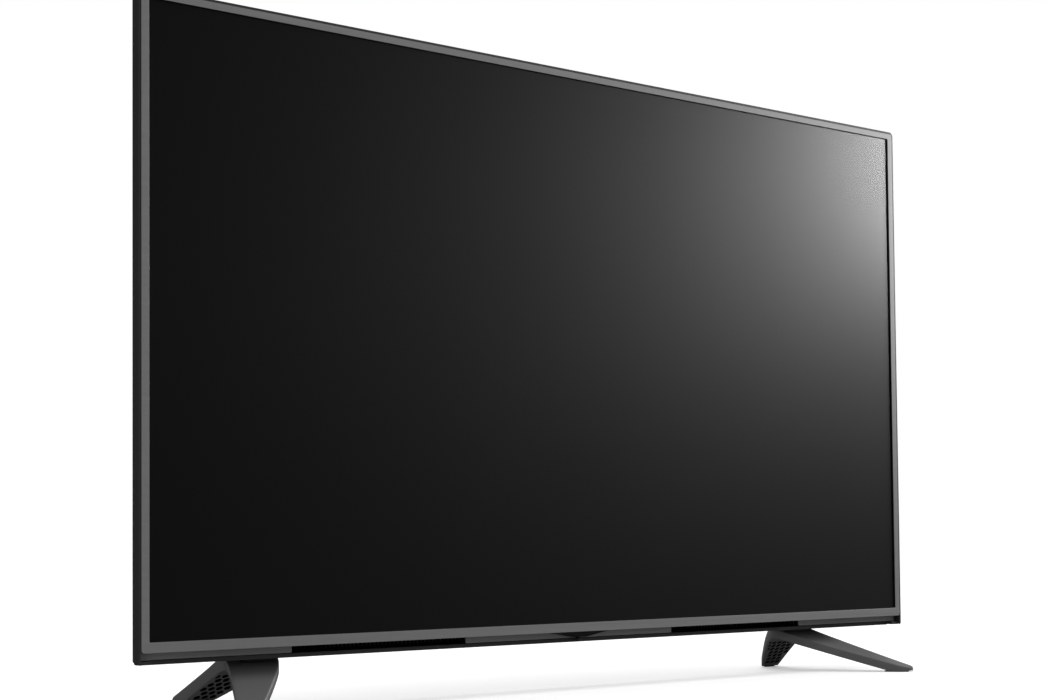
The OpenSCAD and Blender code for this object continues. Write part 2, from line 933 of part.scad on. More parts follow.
module reflector_sheet() {
    color([0.95, 0.95, 0.95])
        difference() {
            across(y_bar0 - reflector_t, y_bar0)
                flat([-x_tray + tray_t + fit, x_tray - tray_t - fit],
                    [z_tray0 + tray_t + fit, z_tray1 - tray_t - fit]);
            at_lamps()
                rod_y(0, 0, y_bar0 - reflector_t - over, y_bar0 + over, lens_r + fit);
        }
}

module backlight_tray() {
    color([0.62, 0.64, 0.66]) {
        across(y_base0, y_tray1)
            flat([-x_tray, x_tray], [z_tray0, z_tray1]);
        across(y_plate1, y_base0)
            ring_flat(x_tray, [z_tray0, z_tray1],
                x_tray - tray_t, [z_tray0 + tray_t, z_tray1 - tray_t]);
        across(y_plate1, y_plate1 + tray_t)
            ring_flat(x_guide, [z_guide0, z_guide1],
                x_tray - tray_t, [z_tray0 + tray_t, z_tray1 - tray_t]);
    }
}

// Drive electronics of the panel
module source_boards() {
    color([0.1, 0.4, 0.2])
        across(y_source0, y_source1)
            both_sides()
                flat([source_near, source_near + source_len], [z_source1 - source_h, z_source1]);
}

module driver_films() {
    color([0.75, 0.5, 0.12])
        both_sides()
            for (i = [0 : film_n - 1])
                translate([source_near + film_pitch * (i + 0.5), 0, 0]) {
                    block([0, film_w], [y_cell0 + film_t, y_cell0 + 2 * film_t], [z_cell1, z_film + film_t]);
                    block([0, film_w], [y_cell0 + film_t, y_source1 + film_t], [z_film, z_film + film_t]);
                    block([0, film_w], [y_source1, y_source1 + film_t],
                        [z_source1 - film_lap, z_film + film_t]);
                }
}

module timing_board() {
    color([0.1, 0.4, 0.2])
        across(y_board0, y_board1)
            difference() {
                flat([-timing_w / 2, timing_w / 2], [timing_z, timing_z + timing_h]);
                for (p = timing_corners)
                    translate(p)
                        circle(r = board_screw_r + screw_gap);
            }
}

module panel_cables() {
    color([0.92, 0.92, 0.9])
        both_sides()
            translate([panel_ribbon_x - ribbon_w / 2, 0, 0]) {
                z_bend = timing_z + timing_h;
                w = [0, ribbon_w];
                block(w, [y_board1, y_board1 + ribbon_t], [z_bend - ribbon_lap, z_bend + ribbon_t]);
                block(w, [y_tray1, y_board1 + ribbon_t], [z_bend, z_bend + ribbon_t]);
                block(w, [y_tray1, y_tray1 + ribbon_t], [z_bend, z_tray1 + ribbon_t]);
                block(w, [y_source1, y_tray1 + ribbon_t], [z_tray1, z_tray1 + ribbon_t]);
                block(w, [y_source1, y_source1 + ribbon_t], [z_tray1, z_source1 - source_h + ribbon_lap]);
            }
}

module signal_cable() {
    z_top = timing_z + timing_h / 2;
    color([0.92, 0.92, 0.9])
        across(y_board1, y_board1 + ribbon_t) {
            flat([ribbon_x, ribbon_x + ribbon_w], [board_z + main_h - ribbon_lap, z_top + ribbon_w / 2]);
            flat([timing_w / 2 - ribbon_lap, ribbon_x + ribbon_w],
                [z_top - ribbon_w / 2, z_top + ribbon_w / 2]);
        }
}

// Corners where a board is screwed down, in X and Z
function board_corners(x0, w, z0, h) = [for (x = [x0 + corner_in, x0 + w - corner_in],
    z = [z0 + corner_in, z0 + h - corner_in]) [x, z]];

main_corners = board_corners(board_near, main_w, board_z, main_h);
power_corners = board_corners(-board_near - power_w, power_w, board_z, power_h);
timing_corners = board_corners(-timing_w / 2, timing_w, timing_z, timing_h);
all_corners = concat(main_corners, power_corners, timing_corners);

// Board with its screw holes
module drilled_board(x0, w, h, corners) {
    across(y_board0, y_board1)
        difference() {
            flat([x0, x0 + w], [board_z, board_z + h]);
            for (p = corners)
                translate(p)
                    circle(r = board_screw_r + screw_gap);
        }
}

// Main board with its processor and plug
module main_board() {
    color([0.1, 0.42, 0.22])
        drilled_board(board_near, main_w, main_h, main_corners);
    color([0.08, 0.08, 0.08])
        block([chip_x - chip / 2, chip_x + chip / 2], [y_board1 - fit, y_board1 + chip_t],
            [chip_z - chip / 2, chip_z + chip / 2]);
    color([0.9, 0.9, 0.88])
        block([board_near, board_near + plug_w], [y_board1 - fit, y_board1 + plug_d],
            [harness_z - plug_half, harness_z + plug_half]);
}

module main_heatsink() {
    y0 = y_board1 + chip_t;
    step = (sink_w - sink_fin_t) / (sink_fin_n - 1);
    color([0.7, 0.71, 0.72]) {
        block([chip_x - sink_w / 2, chip_x + sink_w / 2], [y0, y0 + sink_base],
            [chip_z - sink_w / 2, chip_z + sink_w / 2]);
        for (i = [0 : sink_fin_n - 1])
            translate([chip_x - sink_w / 2 + i * step, 0, 0])
                block([0, sink_fin_t], [y0, y0 + sink_base + sink_fin],
                    [chip_z - sink_w / 2, chip_z + sink_w / 2]);
    }
}

// Socket at the main board's edge that opens sideways, and the window that it needs in the cover
module side_socket(z, w, h) {
    half = w / 2 + port_wall;
    difference() {
        union() {
            block([x_term - port_len, x_term - wall - fit], [y_board1, y_port1], [z - half, z + half]);
            block([x_term - port_len, x_term + port_lip], [y_port1 - h - 2 * port_wall, y_port1],
                [z - half, z + half]);
        }
        block([x_term + port_lip - port_deep, x_term + port_lip + over],
            [y_port1 - port_wall - h, y_port1 - port_wall], [z - w / 2, z + w / 2]);
    }
}

module side_window(z, w, h) {
    half = w / 2 + port_wall + socket_gap;
    block([x_term - wall - over, x_term + over],
        [y_port1 - h - 2 * port_wall - socket_gap, y_port1 + socket_gap], [z - half, z + half]);
}

module video_ports() {
    color([0.75, 0.75, 0.77])
        for (i = [0, 1])
            side_socket(port_z + i * port_pitch, video_w, video_h);
}

module data_port() {
    color([0.75, 0.75, 0.77])
        side_socket(port_z + 2 * port_pitch, data_w, data_h);
}

// Box on the main board that reaches the rear recess, with a square mouth
module rear_socket(x, w, h, wall_t) {
    difference() {
        block([x - w / 2 - wall_t, x + w / 2 + wall_t], [y_board1, y_recess + recess_lip],
            [socket_z - h / 2 - wall_t, socket_z + h / 2 + wall_t]);
        block([x - w / 2, x + w / 2], [y_recess + recess_lip - port_deep, y_recess + recess_lip + over],
            [socket_z - h / 2, socket_z + h / 2]);
    }
}

module rear_window(x, w, h, wall_t) {
    half_w = w / 2 + wall_t + socket_gap;
    half_h = h / 2 + wall_t + socket_gap;
    block([x - half_w, x + half_w], [y_recess - wall - over, y_recess + over],
        [socket_z - half_h, socket_z + half_h]);
}

module network_port() {
    color([0.7, 0.7, 0.72])
        rear_socket(network_x, network_w, network_h, 2 * port_wall);
}

module optical_port() {
    color([0.06, 0.06, 0.06])
        rear_socket(optical_x, optical_w, optical_w, 2 * port_wall);
}

module av_jacks() {
    color([0.1, 0.1, 0.1])
        for (i = [0, 1])
            translate([jack_x + i * jack_pitch, 0, 0])
                difference() {
                    union() {
                        block([-jack_body / 2, jack_body / 2], [y_board1, y_recess - wall - fit],
                            [socket_z - jack_body / 2, socket_z + jack_body / 2]);
                        rod_y(0, socket_z, y_board1, y_recess + recess_lip, jack_collar_r);
                    }
                    rod_y(0, socket_z, y_recess + recess_lip - port_deep, y_recess + recess_lip + over,
                        jack_r);
                }
}

module antenna_socket() {
    half = antenna_can / 2;
    color([0.72, 0.72, 0.7])
        difference() {
            union() {
                block([antenna_x - half, antenna_x + half], [y_board1, y_recess - wall - fit],
                    [socket_z - half, socket_z + half]);
                rod_y(antenna_x, socket_z, y_board1, y_recess + antenna_step + recess_lip, antenna_r);
            }
            rod_y(antenna_x, socket_z, y_recess + antenna_step + recess_lip - port_deep,
                y_recess + antenna_step + recess_lip + over, antenna_bore_r);
        }
}

module wireless_board() {
    color([0.1, 0.35, 0.3])
        block([wireless_x, wireless_x + wireless_w], [y_tray1, y_tray1 + wireless_t],
            [wireless_z, wireless_z + wireless_h]);
}

// Power supply
module power_board() {
    color([0.55, 0.42, 0.2])
        drilled_board(-board_near - power_w, power_w, power_h, power_corners);
    color([0.9, 0.9, 0.88])
        block([-board_near - plug_w, -board_near], [y_board1 - fit, y_board1 + plug_d],
            [harness_z - plug_half, harness_z + plug_half]);
}

module bulk_capacitors() {
    color([0.12, 0.14, 0.3])
        for (i = [0 : 2])
            rod_y(cap_x, cap_z + i * cap_pitch, y_board1, y_board1 + cap_h, cap_r);
}

module transformers() {
    color([0.75, 0.65, 0.15])
        for (i = [0, 1])
            translate([coil_x, 0, coil_z + i * coil_pitch])
                block([-coil_w / 2, coil_w / 2], [y_board1, y_board1 + coil_d], [-coil_h / 2, coil_h / 2]);
}

module power_heatsink() {
    color([0.7, 0.71, 0.72])
        block([blade_x - blade_t / 2, blade_x + blade_t / 2], [y_board1, y_board1 + blade_h],
            [blade_z - blade_l / 2, blade_z + blade_l / 2]);
}

// Slot with round ends, in X and Z
module stadium_flat(w, h) {
    flat([-w / 2 + h / 2, w / 2 - h / 2], [-h / 2, h / 2]);
    for (x = [-w / 2 + h / 2, w / 2 - h / 2])
        translate([x, 0])
            circle(d = h);
}

module ac_inlet() {
    y1 = y_recess + recess_lip;
    color([0.05, 0.05, 0.05])
        translate([inlet_x, 0, socket_z])
            difference() {
                across(y_board1, y1)
                    flat([-inlet_w / 2 - inlet_wall, inlet_w / 2 + inlet_wall],
                        [-inlet_h / 2 - inlet_wall, inlet_h / 2 + inlet_wall]);
                across(y1 - port_deep, y1 + over)
                    stadium_flat(inlet_w, inlet_h);
            }
    color([0.8, 0.78, 0.7])
        for (x = [-inlet_pin_x, inlet_pin_x])
            rod_y(inlet_x + x, socket_z, y1 - port_deep - fit, y1 - port_deep + inlet_pin_l, inlet_pin_r);
}

module power_harness() {
    color([0.7, 0.68, 0.62])
        rod_x(y_board1 + plug_d / 2, harness_z, -board_near, board_near, harness_r);
}

// Standoffs under the boards and under the rear cover, and their screws
cover_top_in = 92;
cover_row = [-400, -200, 0, 200, 400];
cover_side_in = 77.4;
cover_side_x = x_case - cover_side_in;
cover_side_z = [160, 290, 420];
cover_spots = concat([for (x = cover_row) [x, z_case1 - cover_top_in]],
    [for (x = [-cover_side_x, cover_side_x], z = cover_side_z) [x, z]]);
standoff_bore = 5;
cover_screw_l = 7;

module standoffs() {
    color([0.8, 0.8, 0.78]) {
        for (p = all_corners)
            difference() {
                rod_y(p[0], p[1], y_tray1, y_board0, standoff_r);
                rod_y(p[0], p[1], y_board0 - standoff_bore, y_board0 + over, board_screw_r + screw_gap);
            }
        for (p = cover_spots)
            difference() {
                rod_y(p[0], p[1], y_tray1, y_back - wall, standoff_r);
                rod_y(p[0], p[1], y_tray1 + fit, y_back, cover_screw_r + screw_gap);
            }
    }
}

module board_screws() {
    color([0.75, 0.75, 0.73])
        for (p = all_corners) {
            rod_y(p[0], p[1], y_board1, y_board1 + board_head_h, board_head_r);
            rod_y(p[0], p[1], y_board0 - standoff_bore + fit, y_board1, board_screw_r);
        }
}

module rear_cover_screws() {
    color([0.08, 0.08, 0.08])
        for (p = cover_spots) {
            rod_y(p[0], p[1], y_back, y_back + cover_head_h, cover_head_r);
            rod_y(p[0], p[1], y_back - cover_screw_l, y_back, cover_screw_r);
        }
}

// Places of the wall mount, in X and Z
mount_spots = [for (x = [-mount_w / 2, mount_w / 2],
    z = [mount_z - mount_h / 2, mount_z + mount_h / 2]) [x, z]];

module wall_mount_posts() {
    color([0.7, 0.71, 0.73])
        for (p = mount_spots)
            difference() {
                rod_y(p[0], p[1], y_tray1, y_bulge, mount_post_r);
                rod_y(p[0], p[1], y_bulge - mount_hole_deep, y_bulge + over, mount_hole_r);
            }
}

// Sound
module track_flat(w, h) {
    translate([speaker_x, speaker_y]) {
        square([w - h, h], center = true);
        for (x = [-(w - h) / 2, (w - h) / 2])
            translate([x, 0])
                circle(d = h);
    }
}

module right_speaker_box() {
    x = [speaker_near, speaker_far];
    in = [speaker_wall, -speaker_wall];
    color([0.07, 0.07, 0.07]) {
        difference() {
            block(x, [y_speaker0, y_speaker1], [z_speaker0, z_speaker1]);
            block(x + in, [y_speaker0, y_speaker1] + in, [z_speaker0, z_speaker1] + in);
            translate([0, 0, z_speaker0 - over])
                linear_extrude(speaker_wall + 2 * over)
                    track_flat(cone_len + 2 * cone_gap, cone_w + 2 * cone_gap);
        }
        rod_z(speaker_x, speaker_y, z_speaker0 + speaker_wall + cone_travel + motor_gap,
            z_speaker1 - speaker_wall / 2, coil_r - coil_wall - motor_gap);
    }
}

module left_speaker_box() {
    mirror([1, 0, 0])
        right_speaker_box();
}

module right_speaker_cone() {
    color([0.15, 0.15, 0.16]) {
        translate([0, 0, z_speaker0])
            linear_extrude(cone_t)
                track_flat(cone_len, cone_w);
        translate([0, 0, z_speaker0 + cone_t - fit])
            difference() {
                rod_z(speaker_x, speaker_y, 0, coil_l, coil_r);
                rod_z(speaker_x, speaker_y, fit, coil_l + over, coil_r - coil_wall);
            }
    }
}

module left_speaker_cone() {
    mirror([1, 0, 0])
        right_speaker_cone();
}

// Leads from the speaker boxes up to the main board
module speaker_leads() {
    color([0.7, 0.1, 0.1]) {
        rod_z(lead_x + lead_pitch, y_lead, z_speaker1, board_z + lead_up, lead_r);
        rod_z(-lead_x, y_lead, z_speaker1, lead_z, lead_r);
        rod_x(y_lead, lead_z, -lead_x, lead_x, lead_r);
        rod_z(lead_x, y_lead, lead_z, board_z + lead_up, lead_r);
        for (x = [-lead_x, lead_x])
            translate([x, y_lead, lead_z])
                sphere(r = lead_r);
    }
}

// Rear cover
// Raised form with sloped sides and a sloped top, between three depths
module raised(x, z0, z1, y0, y1, y2, run) {
    intersection() {
        translate([0, 0, z0])
            linear_extrude(z1 - z0)
                polygon([[-x, y0], [x, y0], [x, y1], [x - run, y2], [run - x, y2], [-x, y1]]);
        translate([-x, 0, 0])
            rotate([90, 0, 90])
                linear_extrude(2 * x)
                    polygon([[y0, z0], [y2, z0], [y2, z1 - run], [y1, z1], [y0, z1]]);
    }
}

// Outside of the cover, or its inside where inset is the wall
module cover_form(inset) {
    start = inset > 0 ? over : 0;
    raised(x_cover - inset, z_case0 + inset, z_cover1 - inset,
        y_side1 - start, y_slope0, y_back - inset, edge_run);
    raised(x_bulge - inset, z_case0 + inset, z_bulge1 - inset,
        y_slope0, y_back - inset, y_bulge - inset, bulge_run);
}

// Hollows in the cover's outside where the sockets are: beside the main board, and two behind
module socket_hollows(grow) {
    block([x_term - grow, x_cover], [y_back - grow, y_bulge + over], [pocket_z0 - grow, pocket_z1 + grow]);
    block([socket_near - grow, socket_far + grow], [y_recess - grow, y_bulge + over],
        [socket_z - socket_half - grow, socket_z + socket_half + grow]);
    block([inlet_x - inlet_half - grow, inlet_x + inlet_half + grow], [y_recess - grow, y_bulge + over],
        [socket_z - socket_half - grow, socket_z + socket_half + grow]);
}

// Sharp edge to take off the cover's lower right corner
module corner_waste() {
    across(y_side1 - over, y_bulge + over)
        difference() {
            flat([x_cover - cover_corner, x_cover + over], [z_case0 - over, z_case0 + cover_corner]);
            translate([x_cover - cover_corner, z_case0 + cover_corner])
                circle(r = cover_corner);
        }
}

// Row of vent slits through the back wall
module vent_row(z, y) {
    for (i = [0 : vent_n - 1])
        translate([(i - (vent_n - 1) / 2) * vent_pitch, 0, z])
            block([-vent_w / 2, vent_w / 2], [y - wall - over, y + over], [-vent_h / 2, vent_h / 2]);
}

upper_vent_z = 560;
lower_vent_z = 215;

module rear_cover() {
    color([0.09, 0.09, 0.1])
        difference() {
            union() {
                difference() {
                    cover_form(0);
                    difference() {
                        cover_form(wall);
                        socket_hollows(wall);
                    }
                    block([-x_cover_in, x_cover_in], [y_side1 - over, y_trim0 + seam],
                        [z_case0 - over, z_trim1]);
                }
                block([-x_cover_in, x_cover_in], [y_trim0 + seam, y_trim0 + seam + lip_t],
                    [z_case0, z_case0 + lip_h]);
            }
            both_sides()
                corner_waste();
            socket_hollows(0);
            for (i = [0, 1])
                side_window(port_z + i * port_pitch, video_w, video_h);
            side_window(port_z + 2 * port_pitch, data_w, data_h);
            rear_window(network_x, network_w, network_h, 2 * port_wall);
            rear_window(optical_x, optical_w, optical_w, 2 * port_wall);
            rear_window(inlet_x, inlet_w, inlet_h, inlet_wall);
            for (i = [0, 1])
                rod_y(jack_x + i * jack_pitch, socket_z, y_recess - wall - over, y_recess + over,
                    jack_collar_r + socket_gap);
            rod_y(antenna_x, socket_z, y_recess - wall - over, y_recess + over, antenna_r + socket_gap);
            for (p = mount_spots)
                rod_y(p[0], p[1], y_bulge - wall - over, y_bulge + over, mount_post_r + socket_gap);
            for (p = cover_spots)
                rod_y(p[0], p[1], y_back - wall - over, y_back + over, cover_screw_r + screw_gap);
            vent_row(upper_vent_z, y_back);
            vent_row(lower_vent_z, y_bulge);
            both_sides()
                for (x = foot_screw_x)
                    rod_z(x, screw_y, z_case0 - over, z_case0 + wall + over, foot_screw_r + screw_gap);
        }
}

// Feet. A depth d is measured back from the front plane, and each leg runs from the apex to its end.
function soft(t, blend) = (t + sqrt(t * t + blend * blend)) / 2;
function front_share(d, blend) = soft(root_back - d, blend) / leg_f;
function rear_share(d, blend) = soft(d - root_back, blend) / leg_r;
function bowed(s) = (1 + leg_bow) * s - leg_bow * s * s;
function foot_mid(d) = foot_x + (tip_x - foot_x) * front_share(d, plan_blend)
    + (rear_x - foot_x) * rear_share(d, plan_blend);
function foot_wide(d) = root_w - (root_w - tip_w) * front_share(d, plan_blend)
    - (root_w - rear_w) * rear_share(d, plan_blend);
function foot_under(d) = z_root - foot_t - (z_root - tip_top) * bowed(front_share(d, crotch_blend))
    - rear_fall * rear_share(d, crotch_blend);
function foot_over(d) = d < root_back ? z_root - (z_root - tip_top) * bowed((root_back - d) / leg_f)
    : z_root - foot_t + rear_t - rear_fall * (d - root_back) / leg_r;
function end_round(t) = t >= 1 ? 1 : max(end_share, sqrt(1 - (1 - t) * (1 - t)));
function power(v) = sign(v) * pow(abs(v), foot_square);
function foot_ring(d) = let (
        half_w = foot_wide(d) / 2 * end_round(min(d + front_reach, rear_reach - d) / tip_round),
        low = foot_under(d),
        high = min(z_case0 - neck_proud, foot_over(d))
    ) [for (i = [0 : foot_sides - 1]) [
        foot_mid(d) + half_w * power(cos(360 * i / foot_sides)),
        y_front + d,
        max(pad_t, (low + high) / 2 + (high - low) / 2 * power(sin(360 * i / foot_sides)))
    ]];
function foot_station(u) = -front_reach + (leg_f + leg_r) * (u - end_pack * sin(360 * u) / (2 * PI));

module foot_form() {
    points = [for (k = [0 : foot_rings]) each foot_ring(foot_station(k / foot_rings))];
    sides = [for (k = [0 : foot_rings - 1], i = [0 : foot_sides - 1])
        let (a = k * foot_sides + i, b = k * foot_sides + (i + 1) % foot_sides)
            each [[a, b, b + foot_sides], [a, b + foot_sides, a + foot_sides]]];
    top = foot_sides / 4;
    fan = [for (i = [1 : foot_sides - 2]) [(top + i) % foot_sides, (top + i + 1) % foot_sides]];
    end = foot_rings * foot_sides;
    first = [for (f = fan) [top, f[1], f[0]]];
    last = [for (f = fan) [end + top, end + f[0], end + f[1]]];
    polyhedron(points, concat(sides, first, last));
}

screw_y = y_front + neck_back;
foot_screw_x = [neck_x - foot_screw_gap / 2, neck_x + foot_screw_gap / 2];

// Places the plane of a rear leg's underside
module on_rear_leg() {
    translate([0, y_front + root_back, z_root - foot_t])
        rotate([-rear_slope, 0, 0])
            children();
}

// Half width of the honeycomb plate at a distance down the rear leg
function honey_half(u) = foot_wide(root_back + u * cos(rear_slope)) / 2 - honey_side;
function honey_mid(u) = foot_mid(root_back + u * cos(rear_slope));

module honey_flat(grow) {
    u0 = honey_near - grow;
    u1 = honey_far + grow;
    polygon([
        [honey_mid(u0) - honey_half(u0) - grow, u0],
        [honey_mid(u0) + honey_half(u0) + grow, u0],
        [honey_mid(u1) + honey_half(u1) + grow, u1],
        [honey_mid(u1) - honey_half(u1) - grow, u1]
    ]);
}

module right_foot() {
    color([0.16, 0.16, 0.17])
        difference() {
            union() {
                foot_form();
                block([neck_x - neck_w / 2, neck_x + neck_w / 2],
                    [screw_y - neck_l / 2, screw_y + neck_l / 2],
                    [z_neck0, z_case0]);
            }
            on_rear_leg()
                translate([0, 0, -neck_sink])
                    linear_extrude(neck_sink + honey_sink + honey_t)
                        honey_flat(fit / 2);
            for (x = foot_screw_x) {
                rod_z(x, screw_y, z_neck0 - neck_sink * 2, z_case0 + over, foot_screw_r + screw_gap);
                rod_z(x, screw_y, z_neck0 - neck_sink * 2, z_case0 - head_seat, foot_head_r + screw_gap);
            }
        }
}

module left_foot() {
    mirror([1, 0, 0])
        right_foot();
}

module right_foot_insert() {
    row_step = honey_pitch * sqrt(3) / 2;
    cell_r = (honey_pitch - honey_wall) / sqrt(3);
    rows = floor((honey_far - honey_near - 2 * honey_edge - 2 * cell_r) / row_step);
    color([0.1, 0.1, 0.11])
        on_rear_leg()
            translate([0, 0, honey_sink])
                linear_extrude(honey_t)
                    difference() {
                        honey_flat(0);
                        for (r = [0 : rows]) {
                            u = honey_near + honey_edge + cell_r + r * row_step;
                            room = honey_half(u + cell_r) - honey_edge - cell_r;
                            n = floor(room / honey_pitch);
                            shift = r % 2 * honey_pitch / 2;
                            for (c = [-n : n])
                                if (abs(c * honey_pitch + shift) <= room)
                                    translate([honey_mid(u) + c * honey_pitch + shift, u])
                                        rotate(30)
                                            circle(r = cell_r, $fn = 6);
                        }
                    }
}

module left_foot_insert() {
    mirror([1, 0, 0])
        right_foot_insert();
}

module foot_pads() {
    front_d = -front_reach + pad_in;
    rear_d = rear_reach - rear_pad_in;
    x = [foot_mid(rear_d) - rear_pad_l / 2, foot_mid(rear_d) + rear_pad_l / 2];
    y = [y_front + rear_d - rear_pad_w / 2, y_front + rear_d + rear_pad_w / 2];
    color([0.05, 0.05, 0.05])
        both_sides() {
            translate([foot_mid(front_d), y_front + front_d, 0])
                rotate(leg_turn)
                    linear_extrude(pad_t)
                        rotate(90)
                            stadium_flat(pad_l, pad_w);
            linear_extrude(pad_t)
                round_flat(x, y, rear_pad_corner);
        }
}

module stand_brackets() {
    x = [neck_x - bracket_w / 2, neck_x + bracket_w / 2];
    y = [screw_y - neck_l / 2, screw_y + neck_l / 2];
    z = [z_case0 + wall, z_case0 + wall + bracket_h];
    slot = (bracket_w - foot_screw_gap) / 4;
    color([0.66, 0.67, 0.69])
        both_sides()
            difference() {
                block(x, y, z);
                for (s = [x[0] + bracket_wall, x[1] - bracket_wall - slot])
                    block([s, s + slot], y + [-over, over], z + [bracket_wall, over]);
                for (sx = foot_screw_x)
                    rod_z(sx, screw_y, z[0] - over, z_case0 + screw_reach + fit, foot_screw_r + screw_gap);
            }
}

module foot_screws() {
    seat = z_case0 - head_seat;
    color([0.3, 0.3, 0.31])
        both_sides()
            for (x = foot_screw_x) {
                rod_z(x, screw_y, seat - foot_head_h, seat, foot_head_r);
                rod_z(x, screw_y, seat, z_case0 + screw_reach, foot_screw_r);
            }
}

front_frame();
side_frame();
lower_trim();
slot_bars();
left_grille();
right_grille();
ir_window();
ir_board();
joystick_housing();
joystick_switch();
joystick_plunger();
joystick_ring();
joystick_knob();
panel_gasket();
lcd_panel();
panel_guide();
prism_sheet();
diffuser_sheet();
diffuser_plate();
reflector_sheet();
led_bars();
led_lenses();
backlight_tray();
source_boards();
driver_films();
timing_board();
panel_cables();
signal_cable();
main_board();
main_heatsink();
video_ports();
data_port();
network_port();
antenna_socket();
optical_port();
av_jacks();
power_board();
bulk_capacitors();
transformers();
power_heatsink();
ac_inlet();
power_harness();
standoffs();
board_screws();
left_speaker_box();
right_speaker_box();
left_speaker_cone();
right_speaker_cone();
speaker_leads();
wireless_board();
wall_mount_posts();
rear_cover();
rear_cover_screws();
stand_brackets();
left_foot();
right_foot();
left_foot_insert();
right_foot_insert();
foot_pads();
foot_screws();
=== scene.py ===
import json
import math

import bmesh
import bpy
from mathutils import Matrix, Vector


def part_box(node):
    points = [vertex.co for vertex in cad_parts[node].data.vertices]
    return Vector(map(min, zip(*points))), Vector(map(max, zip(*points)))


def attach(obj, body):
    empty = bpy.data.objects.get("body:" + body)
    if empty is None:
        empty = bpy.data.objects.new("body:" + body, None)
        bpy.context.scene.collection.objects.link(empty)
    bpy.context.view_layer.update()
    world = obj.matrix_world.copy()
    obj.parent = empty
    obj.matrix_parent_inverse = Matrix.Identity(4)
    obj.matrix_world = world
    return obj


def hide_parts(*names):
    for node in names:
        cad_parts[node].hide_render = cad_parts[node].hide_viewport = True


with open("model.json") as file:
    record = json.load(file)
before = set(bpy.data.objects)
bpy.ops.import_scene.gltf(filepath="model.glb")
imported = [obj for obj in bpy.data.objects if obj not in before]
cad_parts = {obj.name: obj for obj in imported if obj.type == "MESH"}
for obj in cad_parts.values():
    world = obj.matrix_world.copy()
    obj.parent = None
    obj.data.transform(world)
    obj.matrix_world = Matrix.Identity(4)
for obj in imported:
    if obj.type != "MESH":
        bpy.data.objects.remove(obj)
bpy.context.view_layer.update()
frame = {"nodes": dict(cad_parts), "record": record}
nodes = frame["nodes"]
print("frame loaded,", len(nodes), "nodes")


# small tools; lengths are in metres, except on the feet
past = 0.01  # how far a cutter reaches past the piece that it cuts


def clearAll():
    if bpy.context.mode != "OBJECT":
        bpy.ops.object.mode_set(mode="OBJECT")
    bpy.ops.object.select_all(action="DESELECT")


def pick(obj):
    clearAll()
    obj.select_set(True)
    bpy.context.view_layer.objects.active = obj


def settle(obj):  # puts the place and the size into the mesh
    pick(obj)
    bpy.ops.object.transform_apply(location=True, rotation=True, scale=True)


def addBox(name, low, high):
    clearAll()
    low, high = Vector(low), Vector(high)
    bpy.ops.mesh.primitive_cube_add(size=1, location=(low + high) / 2)
    obj = bpy.context.object
    obj.name = name
    obj.scale = high - low
    settle(obj)
    return obj


def addDrum(name, centre, radius, depth, sides, axis="Z"):
    clearAll()
    turn = {"X": (0, math.pi / 2, 0), "Y": (math.pi / 2, 0, 0), "Z": (0, 0, 0)}[axis]
    bpy.ops.mesh.primitive_cylinder_add(vertices=sides, radius=radius, depth=depth,
                                        location=centre, rotation=turn)
    obj = bpy.context.object
    obj.name = name
    settle(obj)
    return obj


def copyOf(obj, name):
    pick(obj)
    bpy.ops.object.duplicate()
    other = bpy.context.object
    other.name = name
    return other


def editAll(obj):  # opens a mesh with everything in it selected
    pick(obj)
    bpy.ops.object.mode_set(mode="EDIT")
    bpy.ops.mesh.select_all(action="SELECT")


def editPart(obj, what, test):  # selects faces, edges or points of a mesh by a test
    pick(obj)
    bpy.ops.object.mode_set(mode="EDIT")
    bpy.ops.mesh.select_mode(type={"faces": "FACE", "edges": "EDGE", "verts": "VERT"}[what])
    bpy.ops.mesh.select_all(action="DESELECT")
    mesh = bmesh.from_edit_mesh(obj.data)
    for item in getattr(mesh, what):
        item.select_set(bool(test(item)))
    mesh.select_flush_mode()
    bmesh.update_edit_mesh(obj.data)


def leaveEdit():
    bpy.ops.object.mode_set(mode="OBJECT")


def bevelPicked(width, segments, clamp=False):
    bpy.ops.mesh.bevel(offset=width, segments=segments, affect="EDGES", clamp_overlap=clamp)
    leaveEdit()


def movePicked(x=0, y=0, z=0):
    bpy.ops.transform.translate(value=(x, y, z))
    leaveEdit()


def frontToBack(edge):  # edges that run along Y
    return abs((edge.verts[0].co - edge.verts[1].co).normalized().y) > 0.9


def upDown(edge):  # edges that run along Z
    return abs((edge.verts[0].co - edge.verts[1].co).normalized().z) > 0.9


def stretch(side, near, far):  # a length of X on one side of the set, its lower end first
    return sorted((side * near, side * far))


def applyMod(obj, kind, **settings):
    pick(obj)
    mod = obj.modifiers.new(kind.lower(), kind)
    for key, value in settings.items():
        setattr(mod, key, value)
    bpy.ops.object.modifier_apply(modifier=mod.name)


def cutWith(obj, cutter):
    applyMod(obj, "BOOLEAN", object=cutter, operation="DIFFERENCE", solver="EXACT")
    bpy.data.objects.remove(cutter)


def joinAll(main, others):
    pick(main)
    for other in others:
        other.select_set(True)
    bpy.context.view_layer.objects.active = main
    bpy.ops.object.join()
    return main


def smoothBy(obj, degrees):
    pick(obj)
    bpy.ops.object.shade_smooth_by_angle(angle=math.radians(degrees))


def keepFlat(obj):  # flat faces stay flat beside their eased edges
    applyMod(obj, "WEIGHTED_NORMAL", keep_sharp=True)


def softEdges(obj, width, segments=2, angle=50):
    applyMod(obj, "BEVEL", width=width, segments=segments, limit_method="ANGLE",
             angle_limit=math.radians(angle), use_clamp_overlap=True)
    smoothBy(obj, 40)
    keepFlat(obj)


def mergeMesh(obj):
    editAll(obj)
    bpy.ops.mesh.remove_doubles(threshold=0.000005)
    bpy.ops.mesh.normals_make_consistent(inside=False)
    leaveEdit()


